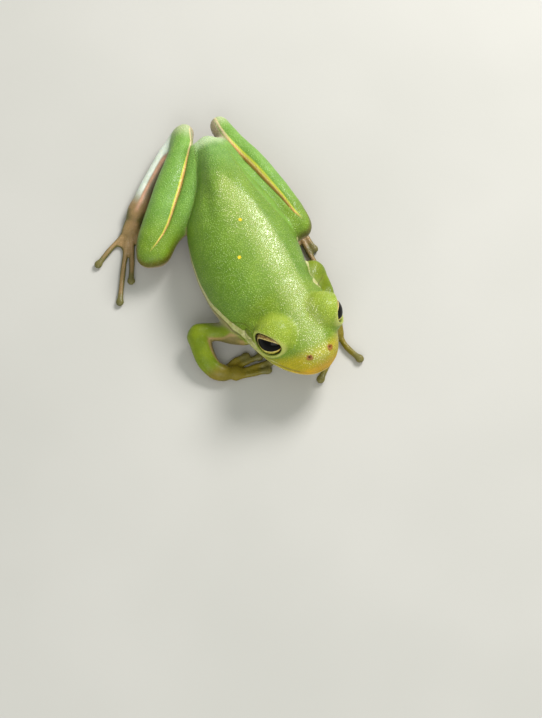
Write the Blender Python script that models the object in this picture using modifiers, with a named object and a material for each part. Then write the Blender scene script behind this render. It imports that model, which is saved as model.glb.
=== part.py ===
"""A life-size green tree frog, crouching with its legs folded, as a set of closed solids.

The frog faces -Y, its left side is +X and +Z is up. Sizes below are in millimetres, and the
last step brings the finished solids to metres with the floor at z = 0.
"""

import math

import bmesh
import bpy
from mathutils import Matrix, Vector

# Driving sizes, in millimetres
MILLIMETRE = 0.001
JOINT_GAP = 0.3
FLAT_LEVEL = 0.0

# Attitude of the head: its frame has x to the frog's left, y forward and z up from the mouth line
HEAD_ORIGIN = Vector((1.25, -16.15, 3.25))
HEAD_YAW = math.radians(13.0)
HEAD_PITCH = math.radians(11.0)
HEAD_ROLL = math.radians(-5.0)

# Torso stations: y, x of the middle, half width, top, bottom, height of the widest line
VENT = Vector((0.30, 14.35, 4.7))
TORSO_STATIONS = (
    (13.9, 0.30, 1.1, 5.8, 3.6, 4.7),
    (12.9, 0.28, 2.1, 6.6, 2.7, 4.6),
    (11.2, 0.15, 2.55, 7.7, 1.6, 4.6),
    (9.0, 0.15, 2.9, 8.8, 0.7, 4.7),
    (6.0, 0.10, 3.65, 9.8, 0.2, 4.8),
    (3.0, -0.08, 5.03, 10.4, -0.1, 4.8),
    (0.0, -0.53, 6.68, 10.6, -0.2, 4.7),
    (-4.0, -0.45, 7.55, 10.7, -0.2, 4.6),
    (-8.0, -0.42, 7.8, 10.6, -0.2, 4.6),
    (-11.5, -0.25, 7.55, 10.3, -0.1, 4.6),
    (-14.0, 0.15, 6.95, 10.0, 0.1, 4.5),
)
# Head stations: distance forward, half width, top, bottom, height of the widest line
HEAD_STATIONS = (
    (0.6, 6.3, 6.2, -2.5, 0.9),
    (2.6, 6.15, 6.0, -2.5, 0.7),
    (4.6, 5.85, 5.7, -2.4, 0.5),
    (6.4, 5.3, 5.25, -2.2, 0.4),
    (8.0, 4.6, 4.75, -1.9, 0.4),
    (9.3, 3.8, 4.25, -1.6, 0.5),
    (10.4, 2.85, 3.65, -1.2, 0.6),
    (11.2, 1.7, 2.95, -0.7, 0.8),
)
NECK_CUT_FORWARD = -1.0
MOUTH_CORNER_FORWARD = 0.9
SNOUT_TIP_FORWARD = 11.55

# Eyes, in the head frame for the left side
EYE_CENTRE = Vector((4.08, 5.4, 3.7))
EYE_AXIS = Vector((0.91, 0.345, 0.22)).normalized()
EYE_RADIUS = 2.4
CORNEA_RADIUS = 2.12
CORNEA_FORWARD = 0.45
SOCKET_RADIUS = EYE_RADIUS + JOINT_GAP
LID_RADIUS = 3.05
LID_INWARD = 0.2
OPENING_HALF_LENGTH = 2.2
OPENING_HALF_HEIGHT = 1.85

# Small forms of the head, in the head frame for the left side
NOSTRIL = Vector((1.70, 10.6, 3.12))
NOSTRIL_RADIUS = 0.32
EAR_CENTRE = Vector((6.1, 1.5, 1.75))
EAR_RADIUS = 0.84
EAR_GROOVE = 0.16
MOUTH_GAP = 0.3
MOUTH_DEPTH = 0.4

# Sole level of the digits and the sizes of their adhesive discs
DIGIT_LEVEL = 0.42
FINGER_DISC = (0.74, 0.66, 0.46)
TOE_DISC = (0.70, 0.64, 0.44)
WEB_THICKNESS = 0.5

# Triangles kept in each kind of solid
TRIANGLES = {
    "torso": 2000,
    "head": 2500,
    "upper_arm": 220,
    "forearm": 240,
    "hand": 760,
    "thigh": 320,
    "shank": 320,
    "tarsus": 220,
    "foot": 1000,
}


def smooth_step(t):
    """An even ease from 0 to 1."""
    t = min(max(t, 0.0), 1.0)
    return t * t * (3.0 - 2.0 * t)


def head_axes():
    """The head's left, forward and up directions in the model's frame."""
    left = Vector((math.cos(HEAD_YAW), math.sin(HEAD_YAW), 0.0))
    ahead = Vector((math.sin(HEAD_YAW), -math.cos(HEAD_YAW), 0.0))
    up = Vector((0.0, 0.0, 1.0))
    forward = ahead * math.cos(HEAD_PITCH) + up * math.sin(HEAD_PITCH)
    crown = up * math.cos(HEAD_PITCH) - ahead * math.sin(HEAD_PITCH)
    side = left * math.cos(HEAD_ROLL) + crown * math.sin(HEAD_ROLL)
    crown = crown * math.cos(HEAD_ROLL) - left * math.sin(HEAD_ROLL)
    return side, forward, crown


def head_matrix():
    """Takes a point of the head frame to the model's frame."""
    side, forward, crown = head_axes()
    turn = Matrix((side, forward, crown)).transposed().to_4x4()
    return Matrix.Translation(HEAD_ORIGIN) @ turn


def mirrored(point, side):
    """A left-side point of the head frame, moved to the right where side is -1."""
    return Vector((point.x * side, point.y, point.z))


# Scene and mesh helpers


def clear_scene():
    """Takes away whatever the scene starts with."""
    for obj in list(bpy.data.objects):
        bpy.data.objects.remove(obj, do_unlink=True)


def new_collection(name, parent=None, shown=True):
    """A collection linked below its parent."""
    collection = bpy.data.collections.new(name)
    (parent or bpy.context.scene.collection).children.link(collection)
    collection.hide_render = not shown
    return collection


def add_mesh(name, build, collection):
    """An object whose mesh is filled by the function build."""
    mesh = bpy.data.meshes.new(name)
    shape = bmesh.new()
    build(shape)
    bmesh.ops.recalc_face_normals(shape, faces=shape.faces)
    shape.to_mesh(mesh)
    shape.free()
    obj = bpy.data.objects.new(name, mesh)
    collection.objects.link(obj)
    return obj


def baked(obj):
    """Turns the object's modifiers into its own mesh."""
    graph = bpy.context.evaluated_depsgraph_get()
    mesh = bpy.data.meshes.new_from_object(obj.evaluated_get(graph))
    obj.modifiers.clear()
    old = obj.data
    obj.data = mesh
    bpy.data.meshes.remove(old)
    return obj


def keep_largest(obj):
    """Keeps only the closed surface with the most volume."""
    shape = bmesh.new()
    shape.from_mesh(obj.data)
    waiting = set(shape.faces)
    groups = []
    while waiting:
        front = [waiting.pop()]
        group = list(front)
        while front:
            face = front.pop()
            for edge in face.edges:
                for other in edge.link_faces:
                    if other in waiting:
                        waiting.remove(other)
                        front.append(other)
                        group.append(other)
        groups.append(group)
    if len(groups) > 1:
        groups.sort(key=lambda group: -abs(group_volume(group)))
        loose = [face for group in groups[1:] for face in group]
        bmesh.ops.delete(shape, geom=loose, context="FACES")
    shape.to_mesh(obj.data)
    shape.free()
    return obj


def group_volume(faces):
    """The signed volume below a group of faces."""
    total = 0.0
    for face in faces:
        points = [vertex.co for vertex in face.verts]
        for second, third in zip(points[1:], points[2:]):
            total += points[0].dot(second.cross(third)) / 6.0
    return total


def boolean(obj, operation, other, solver="EXACT"):
    """Adds, cuts or keeps the overlap with another object or a collection."""
    modifier = obj.modifiers.new(operation.title(), "BOOLEAN")
    modifier.operation = operation
    modifier.solver = solver
    if isinstance(other, bpy.types.Collection):
        modifier.operand_type = "COLLECTION"
        modifier.collection = other
    else:
        modifier.object = other
    return baked(obj)


def fuse(obj, others):
    """Unites closed pieces with the object and removes the extra objects."""
    extra = new_collection(obj.name + "_pieces", shown=False)
    for other in others:
        for home in list(other.users_collection):
            home.objects.unlink(other)
        extra.objects.link(other)
    boolean(obj, "UNION", extra)
    for other in others:
        bpy.data.objects.remove(other, do_unlink=True)
    bpy.data.collections.remove(extra)
    return keep_largest(obj)


def reskin(obj, cell, rounds, factor=0.5):
    """Gives the united pieces one even skin and softens it."""
    remesh = obj.modifiers.new("Remesh", "REMESH")
    remesh.mode = "VOXEL"
    remesh.voxel_size = cell
    remesh.adaptivity = 0.0
    if rounds:
        soften = obj.modifiers.new("Smooth", "SMOOTH")
        soften.factor = factor
        soften.iterations = rounds
    return keep_largest(baked(obj))


def thin_out(obj, triangles):
    """Brings a mesh down to about the given number of triangles."""
    count = sum(len(face.vertices) - 2 for face in obj.data.polygons)
    if count > triangles:
        decimate = obj.modifiers.new("Decimate", "DECIMATE")
        decimate.ratio = triangles / count
        decimate.use_collapse_triangulate = True
        baked(obj)
    return obj


def copy_of(obj, name, collection, grown=0.0):
    """A copy of the object, grown outward by the given distance."""
    twin = bpy.data.objects.new(name, obj.data.copy())
    collection.objects.link(twin)
    if grown:
        displace = twin.modifiers.new("Displace", "DISPLACE")
        displace.direction = "NORMAL"
        displace.mid_level = 0.0
        displace.strength = grown
        baked(twin)
    return twin


def bounds(obj):
    """Lowest and highest corner of the mesh."""
    points = [vertex.co for vertex in obj.data.vertices]
    low = Vector(min(p[i] for p in points) for i in range(3))
    high = Vector(max(p[i] for p in points) for i in range(3))
    return low, high


def near(first, second, distance):
    """Whether two objects' boxes come within the distance of each other."""
    low_a, high_a = bounds(first)
    low_b, high_b = bounds(second)
    return all(
        low_a[i] < high_b[i] + distance and low_b[i] < high_a[i] + distance
        for i in range(3)
    )


def part_from(obj, neighbours, scratch):
    """Cuts a piece back so that it stops short of each neighbour by the joint gap."""
    for other in neighbours:
        if near(obj, other, JOINT_GAP):
            cutter = copy_of(other, "cutter", scratch, JOINT_GAP)
            boolean(obj, "DIFFERENCE", cutter, "MANIFOLD")
            bpy.data.objects.remove(cutter, do_unlink=True)
    return keep_largest(obj)


# Shapes


def section_ring(centre, side, up, half_width, rise, drop, power, count):
    """Points round a rounded section whose upper and lower halves differ in height."""
    ring = []
    for step in range(count):
        angle = 2.0 * math.pi * step / count
        across = math.cos(angle)
        along = math.sin(angle)
        x = math.copysign(abs(across) ** (2.0 / power), across) * half_width
        z = math.copysign(abs(along) ** (2.0 / power), along)
        z *= rise if along > 0.0 else drop
        ring.append(centre + side * x + up * z)
    return ring


def loft(shape, rings, first_tip, last_tip):
    """A closed skin through the rings, ended by fans to the two tips."""
    rows = [[shape.verts.new(point) for point in ring] for ring in rings]
    count = len(rows[0])
    for lower, upper in zip(rows, rows[1:]):
        for i in range(count):
            j = (i + 1) % count
            shape.faces.new((lower[i], lower[j], upper[j], upper[i]))
    start = shape.verts.new(first_tip)
    end = shape.verts.new(last_tip)
    for i in range(count):
        j = (i + 1) % count
        shape.faces.new((start, rows[0][j], rows[0][i]))
        shape.faces.new((end, rows[-1][i], rows[-1][j]))


def spline(points, count):
    """Evenly numbered values on a smooth curve through the given tuples."""
    rows = [Vector(point) for point in points]
    rows = [rows[0] * 2.0 - rows[1]] + rows + [rows[-1] * 2.0 - rows[-2]]
    found = []
    spans = len(rows) - 3
    for step in range(count):
        place = spans * step / (count - 1)
        span = min(int(place), spans - 1)
        t = place - span
        a, b, c, d = rows[span : span + 4]
        value = b * 2.0 + (c - a) * t
        value += (a * 2.0 - b * 5.0 + c * 4.0 - d) * t * t
        value += (b * 3.0 - a - c * 3.0 + d) * t * t * t
        found.append(value * 0.5)
    return found


def limb(name, stations, collection, rings=14, sides=16, end_steps=4):
    """A rounded length of limb. Stations are x, y, z, half width and half height."""
    rows = spline(stations, rings)
    centres = [Vector(row[:3]) for row in rows]
    widths = [row[3] for row in rows]
    heights = [row[4] for row in rows]

    def ring_at(index, shift, scale):
        before = centres[max(index - 1, 0)]
        after = centres[min(index + 1, len(centres) - 1)]
        ahead = (after - before).normalized()
        side = ahead.cross(Vector((0.0, 0.0, 1.0))).normalized()
        up = side.cross(ahead).normalized()
        radius = 0.5 * (widths[index] + heights[index])
        centre = centres[index] + ahead * radius * shift
        height = heights[index] * scale
        return section_ring(
            centre, side, up, widths[index] * scale, height, height, 2.0, sides
        )

    def tip_at(index, sign):
        before = centres[max(index - 1, 0)]
        after = centres[min(index + 1, len(centres) - 1)]
        radius = 0.5 * (widths[index] + heights[index])
        return centres[index] + (after - before).normalized() * radius * sign

    def build(shape):
        last = len(centres) - 1
        round_end = [
            (math.sin(0.5 * math.pi * k / end_steps), math.cos(0.5 * math.pi * k / end_steps))
            for k in range(1, end_steps)
        ]
        skin = [ring_at(0, -shift, scale) for shift, scale in reversed(round_end)]
        skin += [ring_at(i, 0.0, 1.0) for i in range(len(centres))]
        skin += [ring_at(last, shift, scale) for shift, scale in round_end]
        loft(shape, skin, tip_at(0, -1.0), tip_at(last, 1.0))

    return add_mesh(name, build, collection)


def ball(name, centre, radii, collection, turn=None, steps=20):
    """A ball or egg, made from a sphere of unit radius."""

    def build(shape):
        place = Matrix.Translation(centre)
        turned = turn.to_4x4() if turn else Matrix.Identity(4)
        stretch = Matrix.Diagonal((radii[0], radii[1], radii[2], 1.0))
        bmesh.ops.create_uvsphere(
            shape,
            u_segments=steps,
            v_segments=steps // 2,
            radius=1.0,
            matrix=place @ turned @ stretch,
        )

    return add_mesh(name, build, collection)


def facing(direction, up=(0.0, 0.0, 1.0)):
    """A turn whose z axis points along the direction and whose y axis leans up."""
    along = Vector(direction).normalized()
    side = Vector(up).cross(along).normalized()
    rise = along.cross(side).normalized()
    return Matrix((side, rise, along)).transposed()


def block(name, low, high, collection, matrix=None):
    """A box between two corners, moved by the matrix."""

    def build(shape):
        size = Vector(high) - Vector(low)
        middle = (Vector(high) + Vector(low)) * 0.5
        place = (matrix or Matrix.Identity(4)) @ Matrix.Translation(middle)
        stretch = Matrix.Diagonal((size.x, size.y, size.z, 1.0))
        bmesh.ops.create_cube(shape, size=1.0, matrix=place @ stretch)

    return add_mesh(name, build, collection)


# Body core


def core_rings():
    """Sections from the vent to the snout along one bending spine."""
    rings = []
    for y, x, half_width, top, bottom, widest in TORSO_STATIONS:
        centre = Vector((x, y, widest))
        turn = smooth_step((-y - 6.0) / 10.0) * HEAD_YAW
        side = Vector((math.cos(turn), math.sin(turn), 0.0))
        up = Vector((0.0, 0.0, 1.0))
        rings.append(
            section_ring(centre, side, up, half_width, top - widest, widest - bottom, 2.2, 32)
        )
    place = head_matrix()
    side, _, crown = head_axes()
    for forward, half_width, top, bottom, widest in HEAD_STATIONS:
        centre = place @ Vector((0.0, forward, widest))
        power = 2.25 + 0.35 * smooth_step(forward / 8.0)
        rings.append(
            section_ring(
                centre, side, crown, half_width, top - widest, widest - bottom, power, 32
            )
        )
    return rings


def build_core(scratch):
    """Torso and head in one skin, with the lids, lips and pelvic ridges raised on it."""
    place = head_matrix()

    def build(shape):
        snout = place @ Vector((0.0, SNOUT_TIP_FORWARD, 1.0))
        loft(shape, core_rings(), VENT, snout)

    core = add_mesh("core", build, scratch)
    raised = []
    for side in (-1, 1):
        raised.append(eyelid(side, place, scratch))
        raised.append(ear_fold(side, place, scratch))
        raised.append(pelvic_ridge(side, scratch))
    fuse(core, raised)
    return reskin(core, 0.30, 6)


def eyelid(side, place, scratch):
    """The bulge of skin over one eye."""
    centre = mirrored(EYE_CENTRE, side)
    axis = mirrored(EYE_AXIS, side)
    middle = place @ (centre - axis * LID_INWARD)
    turn = place.to_3x3() @ facing(axis)
    size = (LID_RADIUS, LID_RADIUS, LID_RADIUS)
    return ball("eyelid", middle, size, scratch, turn, 28)


def ear_fold(side, place, scratch):
    """The fold of skin that runs from the eye over the ear to the shoulder."""
    stations = []
    for point, radius in (
        (Vector((4.9, 3.6, 3.9)), 0.45),
        (Vector((5.45, 2.2, 3.75)), 0.50),
        (Vector((5.85, 0.6, 2.9)), 0.45),
        (Vector((6.0, -0.8, 1.7)), 0.35),
    ):
        spot = place @ mirrored(point, side)
        stations.append((spot.x, spot.y, spot.z, radius, radius))
    return limb("ear_fold", stations, scratch, rings=10, sides=10)


def pelvic_ridge(side, scratch):
    """The low ridge that a hip bone raises between the hump of the back and the vent."""
    stations = (
        (side * 2.5 - 0.2, 0.6, 9.05, 0.75, 0.75),
        (side * 2.2 - 0.1, 3.8, 9.1, 0.95, 0.95),
        (side * 1.6 + 0.1, 7.6, 8.15, 0.95, 0.9),
        (side * 0.9 + 0.2, 11.4, 6.6, 0.85, 0.8),
    )
    return limb("pelvic_ridge", stations, scratch, rings=10, sides=10)


def split_core(core, scratch, shown):
    """Parts the core at the neck into head and torso."""
    place = head_matrix()
    half_gap = JOINT_GAP * 0.5
    ahead = block(
        "ahead",
        (-20.0, NECK_CUT_FORWARD + half_gap, -20.0),
        (20.0, 30.0, 20.0),
        scratch,
        place,
    )
    behind = block(
        "behind",
        (-30.0, -60.0, -30.0),
        (30.0, NECK_CUT_FORWARD - half_gap, 30.0),
        scratch,
        place,
    )
    head = copy_of(core, "head", shown)
    torso = copy_of(core, "torso", shown)
    boolean(head, "INTERSECT", ahead)
    boolean(torso, "INTERSECT", behind)
    thin_out(keep_largest(head), TRIANGLES["head"])
    thin_out(keep_largest(torso), TRIANGLES["torso"])
    for obj in (ahead, behind, core):
        bpy.data.objects.remove(obj, do_unlink=True)
    return head, torso


def mouth_cutter(place, scratch):
    """A thin horseshoe that cuts the line of the mouth round the snout."""
    rims = [(MOUTH_CORNER_FORWARD, 6.3)]
    rims += [
        (forward, half_width)
        for forward, half_width, _, _, _ in HEAD_STATIONS
        if forward > MOUTH_CORNER_FORWARD
    ]
    outline = [Vector((width, forward)) for forward, width in rims]
    outline.append(Vector((0.0, SNOUT_TIP_FORWARD)))
    outline += [Vector((-width, forward)) for forward, width in reversed(rims)]
    rows = spline([(p.x, p.y) for p in outline], 49)

    def build(shape):
        inner_low, inner_high, outer_low, outer_high = [], [], [], []
        for index, point in enumerate(rows):
            before = rows[max(index - 1, 0)]
            after = rows[min(index + 1, len(rows) - 1)]
            run = (after - before).normalized()
            outward = Vector((run.y, -run.x))
            inside = point - outward * MOUTH_DEPTH
            outside = point + outward * 1.5
            for level, inner, outer in (
                (-0.5 * MOUTH_GAP, inner_low, outer_low),
                (0.5 * MOUTH_GAP, inner_high, outer_high),
            ):
                inner.append(shape.verts.new(place @ Vector((inside.x, inside.y, level))))
                outer.append(shape.verts.new(place @ Vector((outside.x, outside.y, level))))
        for i in range(len(rows) - 1):
            shape.faces.new((inner_low[i], inner_low[i + 1], outer_low[i + 1], outer_low[i]))
            shape.faces.new((inner_high[i], outer_high[i], outer_high[i + 1], inner_high[i + 1]))
            shape.faces.new((inner_low[i], inner_high[i], inner_high[i + 1], inner_low[i + 1]))
            shape.faces.new((outer_low[i], outer_low[i + 1], outer_high[i + 1], outer_high[i]))
        for i in (0, -1):
            shape.faces.new((inner_low[i], outer_low[i], outer_high[i], inner_high[i]))

    return add_mesh("mouth", build, scratch)


def ear_cutter(side, place, scratch):
    """A thin ring that cuts the rim of the ear's disc."""
    centre = mirrored(EAR_CENTRE, side)
    axis = mirrored(Vector((0.97, -0.05, 0.26)), side)

    def build(shape):
        turn = facing(axis).to_4x4()
        frame = place @ Matrix.Translation(centre) @ turn
        around, through = 20, 6
        grid = []
        for i in range(around):
            angle = 2.0 * math.pi * i / around
            spoke = Vector((math.cos(angle), math.sin(angle), 0.0))
            row = []
            for j in range(through):
                lean = 2.0 * math.pi * j / through
                reach = EAR_RADIUS + EAR_GROOVE * math.cos(lean)
                lift = 2.2 * EAR_GROOVE * math.sin(lean)
                row.append(shape.verts.new(frame @ (spoke * reach + Vector((0.0, 0.0, lift)))))
            grid.append(row)
        for i in range(around):
            for j in range(through):
                k, m = (i + 1) % around, (j + 1) % through
                shape.faces.new((grid[i][j], grid[k][j], grid[k][m], grid[i][m]))

    return add_mesh("ear", build, scratch)


def finish_head(head, scratch):
    """Cuts the eye sockets, the lid openings, the mouth, the nostrils and the ears."""
    place = head_matrix()
    cutters = [mouth_cutter(place, scratch)]
    for side in (-1, 1):
        centre = mirrored(EYE_CENTRE, side)
        axis = mirrored(EYE_AXIS, side)
        turn = place.to_3x3() @ facing(axis)
        socket = (SOCKET_RADIUS, SOCKET_RADIUS, SOCKET_RADIUS)
        cutters.append(ball("socket", place @ centre, socket, scratch, turn, 24))
        opening = (OPENING_HALF_LENGTH, OPENING_HALF_HEIGHT, 2.6)
        middle = place @ (centre + axis * 2.4)
        cutters.append(ball("opening", middle, opening, scratch, turn, 24))
        nostril = (NOSTRIL_RADIUS, NOSTRIL_RADIUS, NOSTRIL_RADIUS)
        cutters.append(ball("nostril", place @ mirrored(NOSTRIL, side), nostril, scratch, steps=10))
        cutters.append(ear_cutter(side, place, scratch))
    for cutter in cutters:
        boolean(head, "DIFFERENCE", cutter)
        bpy.data.objects.remove(cutter, do_unlink=True)
    return keep_largest(head)


def build_eye(name, side, shown, scratch):
    """An eyeball with the clear bulge of its cornea."""
    place = head_matrix()
    centre = mirrored(EYE_CENTRE, side)
    axis = mirrored(EYE_AXIS, side)
    turn = place.to_3x3() @ facing(axis)
    size = (EYE_RADIUS, EYE_RADIUS, EYE_RADIUS)
    eye = ball(name, place @ centre, size, shown, turn, 20)
    bulge = (CORNEA_RADIUS, CORNEA_RADIUS, CORNEA_RADIUS)
    middle = place @ (centre + axis * CORNEA_FORWARD)
    return fuse(eye, [ball("cornea", middle, bulge, scratch, turn, 20)])


# Limbs: stations are x, y, z, half width and half height


UPPER_ARM = {
    "right": (
        (-4.6, -17.2, 3.0, 1.25, 1.2),
        (-6.6, -16.2, 3.0, 1.3, 1.25),
        (-8.8, -14.9, 2.9, 1.2, 1.2),
        (-10.5, -14.5, 2.8, 1.2, 1.2),
    ),
    "left": (
        (5.4, -15.6, 4.2, 1.2, 1.3),
        (6.6, -14.0, 4.3, 1.2, 1.3),
        (7.6, -12.2, 4.3, 1.1, 1.25),
        (8.25, -10.9, 4.0, 1.05, 1.15),
    ),
}
FOREARM = {
    "right": (
        (-10.75, -14.9, 2.6, 1.25, 1.2),
        (-10.7, -16.7, 2.2, 1.5, 1.35),
        (-10.5, -18.7, 1.6, 1.5, 1.2),
        (-10.0, -20.2, 1.1, 1.2, 0.95),
    ),
    "left": (
        (8.4, -11.3, 3.4, 1.05, 1.1),
        (8.65, -13.0, 2.8, 1.25, 1.2),
        (8.65, -15.2, 2.0, 1.2, 1.1),
        (8.5, -17.4, 1.2, 0.95, 0.9),
    ),
}
THIGH = {
    "right": (
        (-1.45, 11.3, 4.8, 1.6, 1.9),
        (-2.7, 8.4, 4.7, 2.1, 2.25),
        (-5.3, 4.45, 4.4, 2.45, 2.4),
        (-9.15, 1.6, 3.85, 1.9, 2.1),
        (-11.7, -0.85, 3.4, 1.75, 1.8),
    ),
    "left": (
        (2.05, 10.9, 4.8, 1.2, 1.7),
        (3.1, 7.4, 4.8, 1.5, 2.05),
        (4.85, 2.5, 4.6, 1.8, 2.15),
        (6.8, -2.2, 4.6, 1.8, 2.05),
        (7.7, -4.3, 4.5, 1.6, 1.8),
    ),
}
SHANK_ON_TOP = "right"
SHANK = {
    "right": (
        (-1.95, 16.6, 3.3, 1.45, 1.4),
        (-3.95, 12.8, 4.0, 1.75, 1.75),
        (-6.65, 8.5, 4.4, 2.25, 2.1),
        (-10.15, 3.55, 4.3, 2.3, 2.1),
        (-12.3, 0.75, 3.9, 2.15, 1.95),
        (-13.15, -0.85, 3.5, 1.9, 1.8),
    ),
    "left": (
        (3.3, 16.0, 3.6, 1.4, 1.35),
        (4.3, 11.9, 4.2, 1.55, 1.75),
        (5.8, 7.9, 4.7, 1.6, 2.0),
        (7.3, 2.6, 4.9, 1.65, 2.05),
        (8.35, -2.0, 4.9, 1.65, 2.0),
        (8.55, -4.1, 4.7, 1.55, 1.85),
    ),
}
TARSUS = {
    "right": (
        (-2.9, 16.6, 2.2, 1.25, 1.1),
        (-5.2, 14.95, 1.7, 1.3, 1.2),
        (-8.5, 11.75, 1.35, 1.35, 1.2),
        (-11.65, 8.5, 1.25, 1.3, 1.15),
    ),
    "left": (
        (3.6, 15.6, 2.3, 1.15, 1.1),
        (4.5, 12.6, 1.5, 1.15, 1.1),
        (5.9, 8.4, 1.2, 1.15, 1.1),
        (7.2, 4.2, 1.15, 1.15, 1.05),
    ),
}

# Palm or sole stations, then each digit from its root to its disc as x, y pairs
HAND = {
    "right": {
        "palm": ((-9.5, -20.6, 0.95), (-8.2, -21.05, 0.8), (-6.9, -21.25, 0.65)),
        "palm_width": (0.8, 0.95, 1.05),
        "digits": (
            ((-8.6, -20.4), (-6.9, -19.4), (-5.0, -19.2)),
            ((-7.9, -20.7), (-5.6, -20.1), (-3.2, -19.9)),
            ((-7.2, -21.3), (-4.6, -21.2), (-1.9, -21.2)),
            ((-7.4, -21.8), (-5.2, -22.05), (-2.8, -22.3)),
        ),
    },
    "left": {
        "palm": ((8.5, -17.9, 0.95), (8.5, -19.1, 0.8), (8.3, -20.3, 0.65)),
        "palm_width": (0.9, 1.1, 1.1),
        "digits": (
            ((7.8, -19.0), (6.6, -20.0), (5.2, -20.6)),
            ((7.8, -19.8), (6.6, -21.4), (4.9, -23.0)),
            ((8.0, -20.3), (6.4, -23.2), (3.8, -26.1)),
            ((8.6, -20.4), (9.0, -22.6), (10.1, -24.9)),
        ),
    },
}
FOOT = {
    "right": {
        "palm": ((-11.7, 8.4, 1.0), (-13.2, 6.5, 0.8), (-14.4, 5.0, 0.6)),
        "palm_width": (1.15, 1.25, 1.2),
        "digits": (
            ((-13.0, 5.4), (-12.4, 3.5), (-12.1, 1.9)),
            ((-13.6, 4.9), (-13.5, 2.7), (-13.6, 0.8)),
            ((-14.2, 4.5), (-15.2, 1.2), (-16.5, -2.3)),
            ((-14.7, 4.6), (-16.8, 0.2), (-19.1, -5.0)),
            ((-15.0, 5.1), (-17.6, 3.6), (-20.1, 1.8)),
        ),
        "webbed": 0.42,
    },
    "left": {
        "palm": ((7.25, 4.1, 1.0), (7.9, 1.8, 0.8), (8.4, -0.2, 0.6)),
        "palm_width": (1.05, 1.15, 1.1),
        "digits": (
            ((7.4, -0.2), (6.5, -1.6), (5.6, -3.0)),
            ((7.8, -0.6), (6.9, -2.9), (6.2, -5.2)),
            ((8.2, -0.8), (7.9, -4.4), (7.5, -8.0)),
            ((8.7, -0.9), (9.0, -5.8), (9.7, -10.6)),
            ((9.0, -0.5), (9.5, -3.3), (10.0, -6.2)),
        ),
        "webbed": 0.42,
    },
}
FINGER_RADII = (0.58, 0.46, 0.42, 0.46, 0.42, 0.50)
TOE_RADII = (0.55, 0.44, 0.40, 0.44, 0.40, 0.46)


def digit(route, radii, disc, scratch):
    """One finger or toe with its joints and the adhesive disc at its tip."""
    count = len(radii)
    path = spline(route, count)
    stations = [
        (point.x, point.y, DIGIT_LEVEL, radius, radius * 0.95)
        for point, radius in zip(path, radii)
    ]
    pieces = [limb("digit", stations, scratch, rings=13, sides=12, end_steps=3)]
    run = (path[-1] - path[-2]).normalized()
    turn = Matrix.Rotation(math.atan2(run.y, run.x), 3, "Z")
    centre = Vector((path[-1].x, path[-1].y, disc[2]))
    pieces.append(ball("disc", centre, disc, scratch, turn, 16))
    return pieces


def web(first, second, reach, scratch):
    """The sheet of skin between two toes, with a hollow edge."""
    steps = 6
    one = spline(first, 13)
    two = spline(second, 13)
    near_edge = [one[round(12 * reach * i / steps)] for i in range(steps + 1)]
    far_edge = [two[round(12 * reach * i / steps)] for i in range(steps + 1)]
    middle = (near_edge[-1] + far_edge[-1]) * 0.5
    root = (near_edge[0] + far_edge[0]) * 0.5
    hollow = middle.lerp(root, 0.35)
    margin = spline([near_edge[-1], hollow, far_edge[-1]], 7)
    outline = near_edge + margin[1:-1] + list(reversed(far_edge))

    def build(shape):
        low = [shape.verts.new((p.x, p.y, 0.02)) for p in outline]
        high = [shape.verts.new((p.x, p.y, 0.02 + WEB_THICKNESS)) for p in outline]
        shape.faces.new(low)
        shape.faces.new(list(reversed(high)))
        for i in range(len(outline)):
            j = (i + 1) % len(outline)
            shape.faces.new((low[i], high[i], high[j], low[j]))

    return add_mesh("web", build, scratch)


def extremity(name, plan, radii, disc, triangles, shown, scratch):
    """A hand or foot: the palm, its digits and any webs between them."""
    stations = [
        (x, y, z, width, min(z, 0.85))
        for (x, y, z), width in zip(plan["palm"], plan["palm_width"])
    ]
    palm = limb(name, stations, shown, rings=9, sides=16)
    pieces = []
    for route in plan["digits"]:
        pieces += digit(route, radii, disc, scratch)
    if "webbed" in plan:
        for first, second in zip(plan["digits"], plan["digits"][1:]):
            pieces.append(web(first, second, plan["webbed"], scratch))
    fuse(palm, pieces)
    reskin(palm, 0.13, 3)
    return thin_out(palm, triangles)


def plain_limb(name, stations, triangles, shown):
    """One smooth length of arm or leg."""
    obj = limb(name, stations, shown, rings=15, sides=16, end_steps=4)
    return thin_out(obj, triangles)


def level_off(obj, scratch):
    """Rests the piece on a small flat at the floor."""
    low, _ = bounds(obj)
    if low.z < FLAT_LEVEL:
        ground = block("ground", (-60.0, -60.0, -10.0), (60.0, 60.0, FLAT_LEVEL), scratch)
        boolean(obj, "DIFFERENCE", ground)
        bpy.data.objects.remove(ground, do_unlink=True)
    return keep_largest(obj)


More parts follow.
